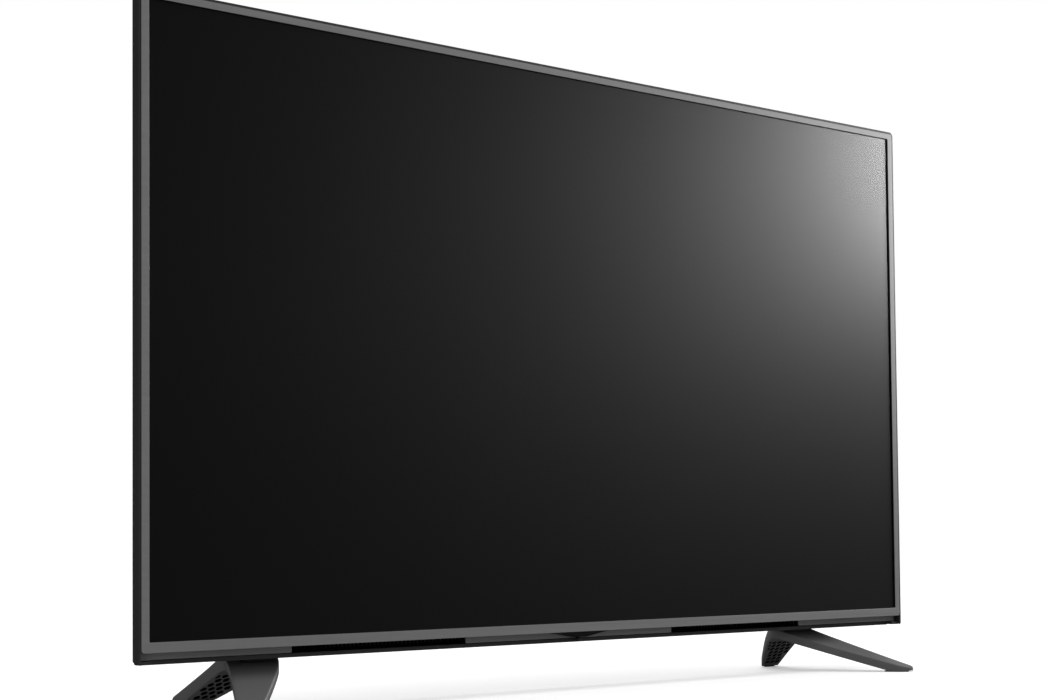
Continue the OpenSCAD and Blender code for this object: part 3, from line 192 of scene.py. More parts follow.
def mirrored(obj, name):  # a copy on the other side of the set
    other = copyOf(obj, name)
    editAll(other)
    bpy.ops.transform.mirror(constraint_axis=(True, False, False), center_override=(0, 0, 0))
    bpy.ops.mesh.normals_make_consistent(inside=False)
    leaveEdit()
    return other


def dress(obj, finish, body, stands=()):
    obj.data.materials.clear()
    obj.data.materials.append(finish)
    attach(obj, body)
    if stands:
        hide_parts(*stands)


def dressPair(obj, leftName, finish, node=None):  # copied first, so each side stands for its own node
    other = mirrored(obj, leftName)
    for side, piece in (("right_", obj), ("left_", other)):
        dress(piece, finish, "set", [side + node] if node else ())


# finishes
class Wire:  # a value on a node's socket, for sums in shaders
    def __init__(self, tree, socket):
        self.tree, self.socket = tree, socket

    def work(self, kind, first, second=None):
        node = self.tree.nodes.new("ShaderNodeMath")
        node.operation = kind
        for place, value in zip(node.inputs, (first, second)):
            if isinstance(value, Wire):
                self.tree.links.new(value.socket, place)
            elif value is not None:
                place.default_value = value
        return Wire(self.tree, node.outputs[0])

    def __add__(self, other): return self.work("ADD", self, other)
    def __radd__(self, other): return self.work("ADD", other, self)
    def __sub__(self, other): return self.work("SUBTRACT", self, other)
    def __rsub__(self, other): return self.work("SUBTRACT", other, self)
    def __mul__(self, other): return self.work("MULTIPLY", self, other)
    def __rmul__(self, other): return self.work("MULTIPLY", other, self)
    def __gt__(self, other): return self.work("GREATER_THAN", self, other)
    def __lt__(self, other): return self.work("LESS_THAN", self, other)
    def __abs__(self): return self.work("ABSOLUTE", self)
    def wrap(self): return self.work("FRACT", self)

    def twin(self, out):  # another output of the same node
        return Wire(self.tree, self.socket.node.outputs[out])


class NodeBench:  # the nodes of one material, or of the world
    def __init__(self, owner):
        owner.use_nodes = True
        self.tree = owner.node_tree
        self.tree.nodes.clear()

    def put(self, kind, settings=None, sockets=None, out=0):
        node = self.tree.nodes.new(kind)
        for key, value in (settings or {}).items():
            setattr(node, key, value)
        for key, value in (sockets or {}).items():
            if isinstance(value, Wire):
                self.tree.links.new(value.socket, node.inputs[key])
            else:
                node.inputs[key].default_value = value
        return Wire(self.tree, node.outputs[out]) if node.outputs else None


class Finish(NodeBench):
    def __init__(self, name):
        self.mat = bpy.data.materials.new(name)
        super().__init__(self.mat)

    def place(self, scale=(1, 1, 1)):  # object coordinates, stretched
        spot = self.put("ShaderNodeTexCoord", out="Object")
        return self.put("ShaderNodeMapping", None, {"Vector": spot, "Scale": scale})

    def axes(self):
        split = self.put("ShaderNodeSeparateXYZ", None, {0: self.put("ShaderNodeTexCoord", out="Object")})
        return [split.twin(i) for i in range(3)]

    def noise(self, scale, detail=2.0, rough=0.5, scaled=(1, 1, 1)):
        return self.put("ShaderNodeTexNoise", None, {"Vector": self.place(scaled), "Scale": scale,
                                                     "Detail": detail, "Roughness": rough})

    def blend(self, share, first, second):  # two colours
        return self.put("ShaderNodeMix", {"data_type": "RGBA"}, {0: share, 6: first, 7: second}, out=2)

    def tones(self, share, level, least, most, warm=0.0):  # greys from least to most of a level
        return self.blend(share, grey(level * least, warm), grey(level * most, warm))

    def shade(self, colour, rough, metal=0.0, bump=None, height=0.0002, push=0.3, **more):
        sockets = {"Base Color": colour, "Roughness": rough, "Metallic": metal}
        sockets.update({key.replace("_", " "): value for key, value in more.items()})
        if bump is not None:
            sockets["Normal"] = self.put("ShaderNodeBump", None,
                                         {"Height": bump, "Strength": push, "Distance": height})
        return self.close(self.put("ShaderNodeBsdfPrincipled", None, sockets))

    def close(self, shader):
        self.put("ShaderNodeOutputMaterial", None, {0: shader})
        return self.mat


def grey(level, warm=0.0):
    return (level * (1 + warm), level, level * (1 - warm), 1)


def vary(middle, spread, share):  # from middle - spread to middle + spread
    return middle - spread + share * (2 * spread)


def plainMoulding(name, level, rough, grain=1400, push=0.25, shine=0.5):  # plastic with a fine spark texture
    f = Finish(name)
    fine = f.noise(grain, 3.0, 0.6)
    cloud = f.noise(9, 3.0)
    return f.shade(f.tones(cloud, level, 0.88, 1.12), vary(rough, 0.05, fine),
                   bump=fine, height=0.00012, push=push, Specular_IOR_Level=shine)


# the dark level is painted shade on the frame's side walls
brushed = {"level": 0.163, "rough": 0.45, "shine": 0.15, "dark": 0.035, "face": -0.02665}


def brushedGrey():  # hairlines run across on every rail
    f = Finish("brushedGrey")
    lines = f.noise(1.0, 3.0, 0.6, (14, 700, 1500))
    wide = f.noise(1.0, 2.0, 0.5, (4, 120, 260))
    mix = lines * 0.6 + wide * 0.4
    face = f.tones(mix, brushed["level"], 0.8, 1.2)
    colour = f.blend(f.axes()[1] < brushed["face"], grey(brushed["dark"]), face)  # only the face is grey; painted shade: the side walls behind it, in the recess by the screen and the groove by the ring, are painted dark
    return f.shade(colour, vary(brushed["rough"], 0.07, mix), bump=lines, height=0.00006, push=0.35,
                   Specular_IOR_Level=brushed["shine"])


screenLook = {"rough": 0.23, "spread": 0.011, "dark": (0.0014, 0.0014, 0.0015, 1),
              "light": (0.0019, 0.0019, 0.002, 1), "bend": 1.5}


def screenCoat():  # dark panel with a fine anti-glare etch
    f = Finish("screenCoat")
    etch = f.noise(2600, 2.0)
    cloud = f.noise(3, 2.0)
    rough = vary(screenLook["rough"], screenLook["spread"], etch * 0.5 + cloud * 0.5)
    return f.shade(f.blend(cloud, screenLook["dark"], screenLook["light"]), rough,
                   bump=etch, height=0.00002, push=0.12, IOR=screenLook["bend"])


def drawnStrip(name, level, rough):  # faint lines along its length
    f = Finish(name)
    lines = f.noise(1.0, 3.0, 0.6, (10, 900, 1800))
    fine = f.noise(1600, 2.0)
    return f.shade(f.tones(lines, level, 0.8, 1.2), vary(rough, 0.06, lines),
                   bump=lines * 0.6 + fine * 0.4, height=0.00008, push=0.3)


def sheetMetal(name, level, rough):  # zinc flowers on plated steel
    f = Finish(name)
    cells = f.put("ShaderNodeTexVoronoi", None, {"Vector": f.place(), "Scale": 120}, out="Color")
    tone = f.put("ShaderNodeSeparateColor", None, {0: cells})
    fine = f.noise(900, 2.0)
    return f.shade(f.tones(tone, level, 0.85, 1.1), rough - 0.08 + tone * 0.1 + fine * 0.06, 1.0,
                   bump=fine, height=0.00003, push=0.2)


def turnedMetal(name, level, rough, warm=0.0):
    f = Finish(name)
    fine = f.noise(700, 3.0, 0.6, (1, 4, 1))
    return f.shade(f.tones(fine, level, 0.88, 1.08, warm), vary(rough, 0.06, fine), 1.0,
                   bump=fine, height=0.00004, push=0.25)


def circuitBoard(name, mask, copper):  # solder mask over fine tracks and pads
    f = Finish(name)
    x, _, z = f.axes()
    flat = f.put("ShaderNodeCombineXYZ", None, {0: x * 90, 1: z * 90, 2: 0.0})
    lanes = f.put("ShaderNodeTexBrick", {"offset": 0.37, "squash": 1.6},
                  {"Vector": flat, "Scale": 1.0, "Mortar Size": 0.035, "Brick Width": 0.9,
                   "Row Height": 0.16}, out="Fac")
    spots = f.put("ShaderNodeTexVoronoi", {"feature": "F1"}, {"Vector": f.place(), "Scale": 260}, out="Distance")
    pads = spots < 0.2
    cloud = f.noise(30, 2.0)
    track = tuple(c * 1.6 for c in mask[:3]) + (1,)
    return f.shade(f.blend(pads, f.blend(lanes, mask, track), copper), 0.32 + cloud * 0.15,
                   bump=lanes + pads, height=0.00005, push=0.3)


def striped(name, light, dark, pitch, axis):  # parallel leads, or turns of tape
    f = Finish(name)
    line = (f.axes()[axis] * (1 / pitch)).wrap()
    bar = abs(line - 0.5) < 0.3
    cloud = f.noise(60, 2.0)
    return f.shade(f.blend(bar * (0.7 + cloud * 0.3), dark, light), 0.4 + cloud * 0.1,
                   bump=bar, height=0.00005, push=0.3)


def filmSheet(name, level, rough, ribs):  # optical film with fine ribs
    f = Finish(name)
    wave = f.put("ShaderNodeTexWave", {"bands_direction": "Z"},
                 {"Vector": f.place(), "Scale": ribs, "Distortion": 0.2}, out="Fac")
    cloud = f.noise(12, 2.0)
    return f.shade(f.tones(cloud, level, 0.96, 1.0), rough + cloud * 0.05,
                   bump=wave, height=0.00003, push=0.2)


def glossTint(name, colour, dark, rough):
    f = Finish(name)
    cloud = f.noise(40, 2.0)
    fine = f.noise(900, 2.0)
    return f.shade(f.blend(cloud, dark, colour), vary(rough, 0.04, fine),
                   bump=fine, height=0.00004, push=0.15)


def rubberSkin(name, level):
    f = Finish(name)
    fine = f.noise(1100, 4.0, 0.7)
    return f.shade(f.tones(fine, level, 0.7, 1.3), 0.72 + fine * 0.15, bump=fine, height=0.0001, push=0.4)


def grilleAndShadeSheet(name, level):  # flat black sheet that gives back almost no light; the same finish is laid as painted shade on the slot bars and under the honeycomb
    f = Finish(name)
    fine = f.noise(1500, 3.0, 0.6)
    return f.shade(f.tones(fine, level, 0.7, 1.3), 0.75 + fine * 0.15,
                   bump=fine, height=0.00008, push=0.3, Specular_IOR_Level=0.04)


finishes = {
    "grey_frame": brushedGrey(),
    "dark_rim": plainMoulding("rimPlastic", 0.027, 0.55, 1500, 0.18, 0.07),
    "charcoal": drawnStrip("charcoalStrip", 0.16, 0.5),
    "black_sheet": grilleAndShadeSheet("grilleBlackAndShade", 0.0012),
    "dark_window": glossTint("windowGloss", (0.006, 0.006, 0.007, 1), (0.004, 0.004, 0.005, 1), 0.14),
    "screen": screenCoat(),
    "black_plastic": plainMoulding("blackPlastic", 0.012, 0.5),
    "foam": rubberSkin("gasketFoam", 0.01),
    "optical_film": filmSheet("prismFilm", 0.75, 0.25, 300),
    "white_sheet": filmSheet("whiteSheet", 0.82, 0.5, 20),
    "lens": glossTint("lensClear", (0.78, 0.84, 0.88, 1), (0.7, 0.76, 0.8, 1), 0.1),
    "tray_steel": sheetMetal("traySteel", 0.5, 0.36),
    "board_green": circuitBoard("greenBoard", (0.006, 0.07, 0.022, 1), (0.55, 0.4, 0.16, 1)),
    "board_tan": circuitBoard("tanBoard", (0.2, 0.12, 0.035, 1), (0.55, 0.5, 0.42, 1)),
    "film_amber": glossTint("amberFilm", (0.5, 0.2, 0.015, 1), (0.36, 0.13, 0.01, 1), 0.22),
    "ribbon": striped("ribbonLeads", (0.78, 0.78, 0.76, 1), (0.5, 0.5, 0.52, 1), 0.001, 0),
    "heatsink": turnedMetal("finAluminium", 0.5, 0.38),
    "port_metal": turnedMetal("portShell", 0.62, 0.26, 0.02),
    "capacitor": glossTint("capSleeve", (0.012, 0.016, 0.09, 1), (0.008, 0.01, 0.05, 1), 0.3),
    "winding_tape": striped("windingTape", (0.5, 0.36, 0.02, 1), (0.4, 0.27, 0.015, 1), 0.004, 1),
    "wire": glossTint("wireSleeve", (0.36, 0.07, 0.05, 1), (0.28, 0.05, 0.04, 1), 0.4),
    "steel": turnedMetal("platedSteel", 0.5, 0.32, 0.01),
    "cone": rubberSkin("coneFibre", 0.02),
    "back_plastic": plainMoulding("backPlastic", 0.036, 0.6, 1000, 0.5, 0.2),
    "screw_black": turnedMetal("blackScrew", 0.05, 0.4),
    "foot_plastic": plainMoulding("footPlastic", 0.106, 0.45, 1300, 0.2),
    "rubber": rubberSkin("padRubber", 0.012),
}
slotOf = {part["node"]: part["material_slot"] for part in frame["record"]["subparts"]}
for nodeName, obj in nodes.items():
    obj.data.materials.clear()
    obj.data.materials.append(finishes[slotOf[nodeName]])
nodes["slot_bars"].data.materials[0] = finishes["black_sheet"]  # painted shade: the bars take the near-black grille finish, as they stand in the shade of the slots
print("finishes on", len(nodes), "nodes")


# front frame, which laps over the edge of the screen
frontRing = {"lap": 0.004, "corner": 0.003, "inside": 0.001, "edge": 0.00035}


def makeFrontFrame():
    low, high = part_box("front_frame")
    screenLow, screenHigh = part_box("lcd_panel")
    lap = frontRing["lap"]
    obj = addBox("frontFrame", low, high)
    editPart(obj, "edges", frontToBack)
    bevelPicked(frontRing["corner"], segments=5)
    hole = addBox("frameHole", (screenLow.x + lap, low.y - past, screenLow.z + lap),
                  (screenHigh.x - lap, high.y + past, screenHigh.z - lap))
    editPart(hole, "edges", frontToBack)
    bevelPicked(frontRing["inside"], segments=4)
    cutWith(obj, hole)
    softEdges(obj, frontRing["edge"], segments=3)
    dress(obj, finishes["grey_frame"], "set", ["front_frame"])


makeFrontFrame()
print("front frame done")


# dark ring round the frame: a wall, a shelf below, and at each side a flange and a toe
darkRing = {"corner": 0.006, "low": 0.003, "wall": 0.0024, "ridge": 0.0009, "rise": 0.0032, "back": -0.0142,
            "shelf": 0.0022, "hole": 0.0049, "sink": 0.001, "fit": 0.0003,
            "flange": 0.0014, "trim": 0.0022, "top": 0.01,
            "toe": 0.0125, "toeFront": -0.0236, "toeBack": 0.0002, "toeLow": 0.0003, "toeHigh": 0.0036,
            "toeEase": 0.0008}


def ringWall(low, high):  # open below, with a lower edge that rises toward the back
    back, wall = darkRing["back"], darkRing["wall"]
    middle = (low.z + high.z) / 2
    obj = addBox("darkRing", low, (high.x, back, high.z))
    for half, radius in ((1, darkRing["corner"]), (-1, darkRing["low"])):
        editPart(obj, "edges", lambda e: frontToBack(e) and (e.verts[0].co.z - middle) * half > 0)
        bevelPicked(radius, segments=8)
    hole = addBox("ringHole", (low.x + wall, low.y - past, low.z - 2 * past),
                  (high.x - wall, high.y + past, high.z - wall))
    editPart(hole, "edges", lambda e: frontToBack(e) and e.verts[0].co.z > middle)
    bevelPicked(darkRing["corner"] - wall, segments=6)
    cutWith(obj, hole)
    wedge = addBox("ringWedge", (low.x - past, low.y, low.z - past), (high.x + past, back + past, low.z))
    slope = darkRing["rise"] / (back - low.y)
    editPart(wedge, "verts", lambda v: v.co.y > back and v.co.z > low.z - past / 2)
    movePicked(z=slope * (back + past - low.y))
    cutWith(obj, wedge)
    softEdges(obj, darkRing["ridge"], segments=4, angle=30)
    return obj


def ringShelf(inner):  # in two depths, bored for the knob
    frameLow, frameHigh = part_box("front_frame")
    trimLow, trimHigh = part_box("lower_trim")
    knobLow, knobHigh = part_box("joystick_knob")
    back, under, over = darkRing["back"], frameLow.z, frameLow.z + darkRing["shelf"]
    shelf = addBox("ringShelf", (-inner, frameHigh.y, under), (inner, back, over))
    rear = addBox("ringShelfRear", (trimLow.x, back - darkRing["sink"], under), (trimHigh.x, trimLow.y, over))
    bore = (0, (knobLow.y + knobHigh.y) / 2, under)
    for part in (shelf, rear):
        cutWith(part, addDrum("shelfBore", bore, darkRing["hole"], 2 * past, 48))
    return [shelf, rear]


def ringEnd(side, inner, low, high):  # the flange up one side, and the toe at its foot
    back, outer = darkRing["back"], inner + darkRing["sink"]
    middle = (low.z + high.z) / 2
    xs = stretch(side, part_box("lower_trim")[1].x + darkRing["fit"], outer)
    flange = addBox("ringFlange", (xs[0], back - darkRing["flange"], low.z),
                    (xs[1], back, high.z - darkRing["top"]))
    editPart(flange, "edges", lambda e: frontToBack(e) and e.verts[0].co.z < middle
             and abs(e.verts[0].co.x) > inner)
    bevelPicked(darkRing["trim"], segments=3)
    xs = stretch(side, inner - darkRing["toe"], outer)
    toe = addBox("ringToe", (xs[0], darkRing["toeFront"], low.z + darkRing["toeLow"]),
                 (xs[1], back - darkRing["toeBack"], low.z + darkRing["toeHigh"]))
    softEdges(toe, darkRing["toeEase"], segments=3)
    return [flange, toe]


def makeSideFrame():
    low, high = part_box("side_frame")
    inner = high.x - darkRing["wall"]
    obj = ringWall(low, high)
    joinAll(obj, ringShelf(inner) + ringEnd(-1, inner, low, high) + ringEnd(1, inner, low, high))
    dress(obj, finishes["dark_rim"], "set", ["side_frame"])


makeSideFrame()
print("dark ring done")


# charcoal strip with its speaker slots, and ends that carry it on to the ring, before its flange
strip = {"grilleLap": 0.004, "edge": 0.0004, "end": 0.0046, "proud": 0.0016, "lap": 0.001, "ramp": 0.016,
         "top": 0.0002, "sink": 0.001, "flush": 0.0001}


def stripEnd(side, low, high):  # a ramp and a plate
    back = darkRing["back"] - darkRing["flange"]
    front, top = back - strip["proud"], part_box("front_frame")[0].z - strip["top"]
    xs = stretch(side, high.x - strip["lap"], high.x + strip["end"])
    plate = addBox("stripEnd", (xs[0], front, low.z), (xs[1], back, top))
    xs = stretch(side, high.x - strip["ramp"], high.x)
    ramp = addBox("stripRamp", (xs[0], front, low.z), (xs[1], low.y + strip["sink"], top))
    editPart(ramp, "verts", lambda v: v.co.y < back and abs(v.co.x) < high.x - strip["ramp"] / 2)
    movePicked(y=low.y - front - strip["flush"])
    return [plate, ramp]


def makeStrip():
    low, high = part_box("lower_trim")
    obj = addBox("charcoalStrip", low, high)
    for node in ("left_grille", "right_grille"):
        slotLow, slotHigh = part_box(node)
        cutWith(obj, addBox("slotCut", (slotLow.x + strip["grilleLap"], low.y - past, low.z - past),
                            (slotHigh.x - strip["grilleLap"], high.y + past, high.z + past)))
    joinAll(obj, stripEnd(-1, low, high) + stripEnd(1, low, high))
    softEdges(obj, strip["edge"])
    dress(obj, finishes["charcoal"], "set", ["lower_trim"])


makeStrip()
print("charcoal strip done")


# feet, with lengths in millimetres: a ring of points is swept from the front tip to the rear one
foot = {"front": -27, "rootBack": 55, "frontReach": 74, "rearReach": 128, "footX": 385.4, "tipX": 475.9,
        "rearX": 432.9, "rootW": 69, "tipW": 18.5, "rearW": 26, "thick": 10.5, "rearThick": 15, "tipTop": 5.2,
        "bow": 0.02, "planEase": 16, "dropEase": 8, "tipRound": 7, "tipLeast": 0.3, "sole": 1.2, "root": 55.2,
        "case": 53.2, "under": 0.6, "fall": 50.8, "square": 0.18, "points": 40, "rings": 84, "bunch": 0.75}
frontLeg = foot["rootBack"] + foot["frontReach"]
rearLeg = foot["rearReach"] - foot["rootBack"]


def ease(t, width):  # 0 before, t after, and a smooth bend between
    return (t + math.sqrt(t * t + width * width)) / 2


def footPlan(d):  # middle and width of the foot, seen from above
    f = ease(foot["rootBack"] - d, foot["planEase"]) / frontLeg
    r = ease(d - foot["rootBack"], foot["planEase"]) / rearLeg
    mid = foot["footX"] + (foot["tipX"] - foot["footX"]) * f + (foot["rearX"] - foot["footX"]) * r
    wide = foot["rootW"] - (foot["rootW"] - foot["tipW"]) * f - (foot["rootW"] - foot["rearW"]) * r
    return mid, wide


def bowed(s):
    return (1 + foot["bow"]) * s - foot["bow"] * s * s


def footHeights(d):  # underside and top of the foot
    ahead, behind = foot["rootBack"] - d, d - foot["rootBack"]
    drop, base = foot["root"] - foot["tipTop"], foot["root"] - foot["thick"]
    low = base - drop * bowed(ease(ahead, foot["dropEase"]) / frontLeg) \
        - foot["fall"] * ease(behind, foot["dropEase"]) / rearLeg
    if ahead > 0:
        high = foot["root"] - drop * bowed(ahead / frontLeg)
    else:
        high = base + foot["rearThick"] - foot["fall"] * behind / rearLeg
    return low, min(foot["case"] - foot["under"], high)


def squared(v):  # fills a round outline toward its corners
    return math.copysign(abs(v) ** foot["square"], v)


def footRing(d):
    mid, wide = footPlan(d)
    low, high = footHeights(d)
    t = min(1, min(d + foot["frontReach"], foot["rearReach"] - d) / foot["tipRound"])
    half = wide / 2 * max(foot["tipLeast"], math.sqrt(max(0, 1 - (1 - t) ** 2)))
    ring = []
    for i in range(foot["points"]):
        a = math.tau * i / foot["points"]
        z = max(foot["sole"], (low + high) / 2 + (high - low) / 2 * squared(math.sin(a)))
        ring.append(Vector((mid + half * squared(math.cos(a)), foot["front"] + d, z)) / 1000)
    return ring


def sweepFoot(name):
    clearAll()
    bpy.ops.mesh.primitive_circle_add(vertices=foot["points"], radius=0.01, fill_type="NGON",
                                      rotation=(math.pi / 2, 0, 0))
    obj = bpy.context.object
    obj.name = name
    settle(obj)
    editAll(obj)
    bpy.ops.mesh.select_mode(type="FACE")
    whole = foot["frontReach"] + foot["rearReach"]
    order = None
    for k in range(foot["rings"] + 1):
        u = k / foot["rings"]
        d = whole * (u - foot["bunch"] * math.sin(math.tau * u) / math.tau) - foot["frontReach"]
        if k:
            bpy.ops.mesh.extrude_region_move(TRANSFORM_OT_translate={"value": (0, 0.001, 0)})
        mesh = bmesh.from_edit_mesh(obj.data)
        face = [f for f in mesh.faces if f.select][0]
        around = list(face.verts)
        if order is None:  # the first outline fixes where each point goes
            centre = face.calc_center_median()
            turns = [math.atan2(v.co.z - centre.z, v.co.x - centre.x) / math.tau for v in around]
            order = [round(turn * foot["points"]) % foot["points"] for turn in turns]
        ring = footRing(d)
        for v, place in zip(around, order):
            v.co = ring[place]
        bmesh.update_edit_mesh(obj.data)
    leaveEdit()
    mergeMesh(obj)
    return obj


# honeycomb under the rear leg, in millimetres: pocket, plate and backing are given by their depths; the backing
# is a near-black sheet laid under the cells as painted shade
comb = {"near": 14, "far": 72, "side": 3, "plate": (0.3, 2.3), "pocket": (-6, 2.8), "pocketFit": 0.15,
        "shadeSheet": (2.4, 2.75), "shadeSheetFit": 0.05, "shadeSheetEase": 0.1,
        "pitch": 9.2, "wall": 1.7, "edge": 0.4, "reach": 0.2, "bore": 12, "most": 4,
        "paintedShadeDepth": 0.5, "rib": 0.13, "cell": 0.006, "rough": 0.55}
rearSlope = math.atan(foot["fall"] / rearLeg)
combRoot = Vector((0, foot["front"] + foot["rootBack"], foot["root"] - foot["thick"])) / 1000
combPlane = Matrix.Translation(combRoot) @ Matrix.Rotation(-rearSlope, 4, "X")


def combSpan(along):  # middle and half width of the plate at a distance down the leg
    mid, wide = footPlan(foot["rootBack"] + along * math.cos(rearSlope))
    return mid, wide / 2 - comb["side"]


def combBlock(name, depths, fit=0):  # a slab in the plane of the underside
    obj = addBox(name, (-0.5, 0, 0), (0.5, 1, 1))
    for v in obj.data.vertices:
        along = comb["far"] + fit if v.co.y > 0.5 else comb["near"] - fit
        mid, half = combSpan(along)
        across = mid + math.copysign(half + fit, v.co.x)
        v.co = combPlane @ (Vector((across, along, depths[1] if v.co.z > 0.5 else depths[0])) / 1000)
    mergeMesh(obj)
    return obj


def combPlasticWithPaintedShade():  # grey ribs; painted shade: the cell walls below the rib faces are painted near black
    f = Finish("combPlasticWithPaintedShade")
    y, z = f.axes()[1:]
    depth = (y - combRoot.y) * math.sin(rearSlope) + (z - combRoot.z) * math.cos(rearSlope)
    # painted shade: below the rib faces the cell walls take the near-black cell colour
    inside = depth > (comb["plate"][0] + comb["paintedShadeDepth"]) / 1000
    grain = f.noise(1300, 3.0, 0.6)
    colour = f.blend(inside, f.tones(grain, comb["rib"], 0.9, 1.1), grey(comb["cell"]))
    return f.shade(colour, comb["rough"] + grain * 0.1, bump=grain, push=0.2)


def makeComb():
    plate = combBlock("rightComb", comb["plate"])
    radius = (comb["pitch"] - comb["wall"]) / math.sqrt(3)
    step = comb["pitch"] * math.sqrt(3) / 2
    first = comb["near"] + comb["edge"] + radius
    last = comb["far"] - comb["edge"] - radius
    depth = sum(comb["plate"]) / 2
    cells = []
    for row in range(int((last - first) / step) + 1):
        along = first + row * step
        mid, half = combSpan(along)
        start = int(mid / comb["pitch"])
        for place in range(start - comb["most"], start + comb["most"] + 1):
            across = (place + row % 2 / 2) * comb["pitch"]
            if abs(across - mid) < half - comb["reach"] * radius:
                cell = addDrum("combCell", Vector((across, along, depth)) / 1000, radius / 1000,
                               comb["bore"] / 1000, 6)
                cell.data.transform(combPlane)
                cells.append(cell)
    cutWith(plate, joinAll(cells[0], cells[1:]))
    dressPair(plate, "leftComb", combPlasticWithPaintedShade(), "foot_insert")


neckBlock = {"mid": 0.3944, "half": 0.02, "low": 0.0435, "corner": 0.003}  # between foot and case; painted shade: dressed in black plastic, it stands for the shade under the case


def makeFeet():
    obj = sweepFoot("rightFootForm")
    cutWith(obj, combBlock("honeyPocket", comb["pocket"], comb["pocketFit"]))
    smoothBy(obj, 38)
    dressPair(obj, "leftFootForm", finishes["foot_plastic"], "foot")
    # painted shade: a near-black sheet under the cells stands for the shade at their bottom
    shadeSheet = combBlock("rightCombShadeSheet", comb["shadeSheet"], comb["shadeSheetFit"])
    softEdges(shadeSheet, comb["shadeSheetEase"] / 1000)
    dressPair(shadeSheet, "leftCombShadeSheet", finishes["black_sheet"])
    bracketLow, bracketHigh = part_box("stand_brackets")
    neck = addBox("rightFootNeckShade", (neckBlock["mid"] - neckBlock["half"], bracketLow.y, neckBlock["low"]),
                  (neckBlock["mid"] + neckBlock["half"], bracketHigh.y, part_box("right_foot")[1].z))
    editPart(neck, "edges", upDown)
    bevelPicked(neckBlock["corner"], segments=4)
    # painted shade: the neck is black for the shade under the case, not for its own colour
    dressPair(neck, "leftFootNeckShade", finishes["black_plastic"])


makeFeet()
makeComb()
print("feet done")


# rear cover, its long edges eased
rearShell = {"ease": 0.0009, "long": 0.012, "turn": 25, "flat": 1}


def mergedNode(node, name):  # a merged copy of a node's mesh
    obj = copyOf(nodes[node], name)
    obj.parent = None
    mergeMesh(obj)
    return obj


def makeRearShell():
    obj = mergedNode("rear_cover", "rearShell")
    editAll(obj)
    bpy.ops.mesh.dissolve_limited(angle_limit=math.radians(rearShell["flat"]), delimit={"NORMAL"})
    leaveEdit()
    sharp = math.radians(rearShell["turn"])
    editPart(obj, "edges", lambda e: e.is_manifold and e.is_convex and e.calc_length() > rearShell["long"]
             and e.calc_face_angle(0) > sharp)
    bevelPicked(rearShell["ease"], segments=3, clamp=True)
    smoothBy(obj, 35)
    keepFlat(obj)
    dress(obj, finishes["back_plastic"], "set", ["rear_cover"])


makeRearShell()
print("rear cover done")


# screws of the rear cover, with crossed slots
coverScrew = {"row": (-0.4, -0.2, 0, 0.2, 0.4), "sideZ": (0.16, 0.29, 0.42), "radius": 0.0036,
              "head": 0.0018, "dome": 0.0009, "stem": 0.0015, "long": 0.007,
              "slot": 0.0009, "reach": 0.0044, "deep": 0.0011}


def makeScrews():
    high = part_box("rear_cover_screws")[1]
    seat = high.y - coverScrew["head"]
    middle = (seat + high.y) / 2
    one = addDrum("coverScrew", (0, middle, 0), coverScrew["radius"], coverScrew["head"], 40, "Y")
    editPart(one, "edges", lambda e: all(v.co.y > middle for v in e.verts))
    bevelPicked(coverScrew["dome"], segments=4)
    slot, reach = coverScrew["slot"], coverScrew["reach"]
    for wide, tall in ((reach, slot), (slot, reach)):
        cutWith(one, addBox("crossCut", (-wide / 2, high.y - coverScrew["deep"], -tall / 2),
                            (wide / 2, high.y + past, tall / 2)))
    stem = addDrum("screwStem", (0, seat - coverScrew["long"] / 2, 0), coverScrew["stem"],
                   coverScrew["long"], 24, "Y")
    joinAll(one, [stem])
    smoothBy(one, 35)
    rowZ, sideX = high.z - coverScrew["radius"], high.x - coverScrew["radius"]
    spots = [(x, rowZ) for x in coverScrew["row"]]
    spots += [(side * sideX, z) for side in (-1, 1) for z in coverScrew["sideZ"]]
    screws = [one] + [copyOf(one, "coverScrewCopy") for _ in spots[1:]]
    for screw, (x, z) in zip(screws, spots):
        screw.location = (x, 0, z)
        settle(screw)
    joinAll(one, screws[1:])
    dress(one, finishes["screw_black"], "set", ["rear_cover_screws"])


makeScrews()
print("screws done")


# control knob: dished cap with a ribbed rim, on its stem and cross pin
knob = {"cap": 0.0021, "ribs": 28, "rib": 0.00022, "ribSides": 4, "dish": 0.0013, "sink": 0.0004,
        "edge": 0.0003, "stem": 0.0019, "pin": 0.00045, "pinLong": 0.006, "pinDrop": 0.001}


def makeKnob():
    low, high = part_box("joystick_knob")
    mid, top = (low + high) / 2, low.z + knob["cap"]
    radius, sides = (high.x - low.x) / 2, knob["ribs"] * knob["ribSides"]
    obj = addDrum("knobCap", (mid.x, mid.y, low.z + knob["cap"] / 2), radius - knob["rib"], knob["cap"], sides)
    editPart(obj, "faces", lambda f: f.normal.z < -0.9)
    bpy.ops.mesh.inset(thickness=knob["dish"], depth=0)
    bpy.ops.mesh.inset(thickness=knob["dish"], depth=-knob["sink"])
    leaveEdit()

    def onRib(face):  # every second pair of faces round the rim
        spot = face.calc_center_median() - mid
        place = math.floor(math.atan2(spot.y, spot.x) / math.tau * sides)
        return abs(face.normal.z) < 0.1 and place % knob["ribSides"] < knob["ribSides"] / 2

    editPart(obj, "faces", onRib)
    bpy.ops.mesh.extrude_region_shrink_fatten(TRANSFORM_OT_shrink_fatten={"value": knob["rib"]})
    leaveEdit()
    stem = addDrum("knobStem", (mid.x, mid.y, (top + high.z) / 2), knob["stem"], high.z - top, 40)
    softEdges(stem, knob["edge"])
    pin = addDrum("knobPin", (mid.x, mid.y, high.z - knob["pinDrop"]), knob["pin"], knob["pinLong"], 20, "X")
    joinAll(obj, [stem, pin])
    smoothBy(obj, 30)
    dress(obj, finishes["black_plastic"], "knob", ["joystick_knob"])


makeKnob()
print("knob done")


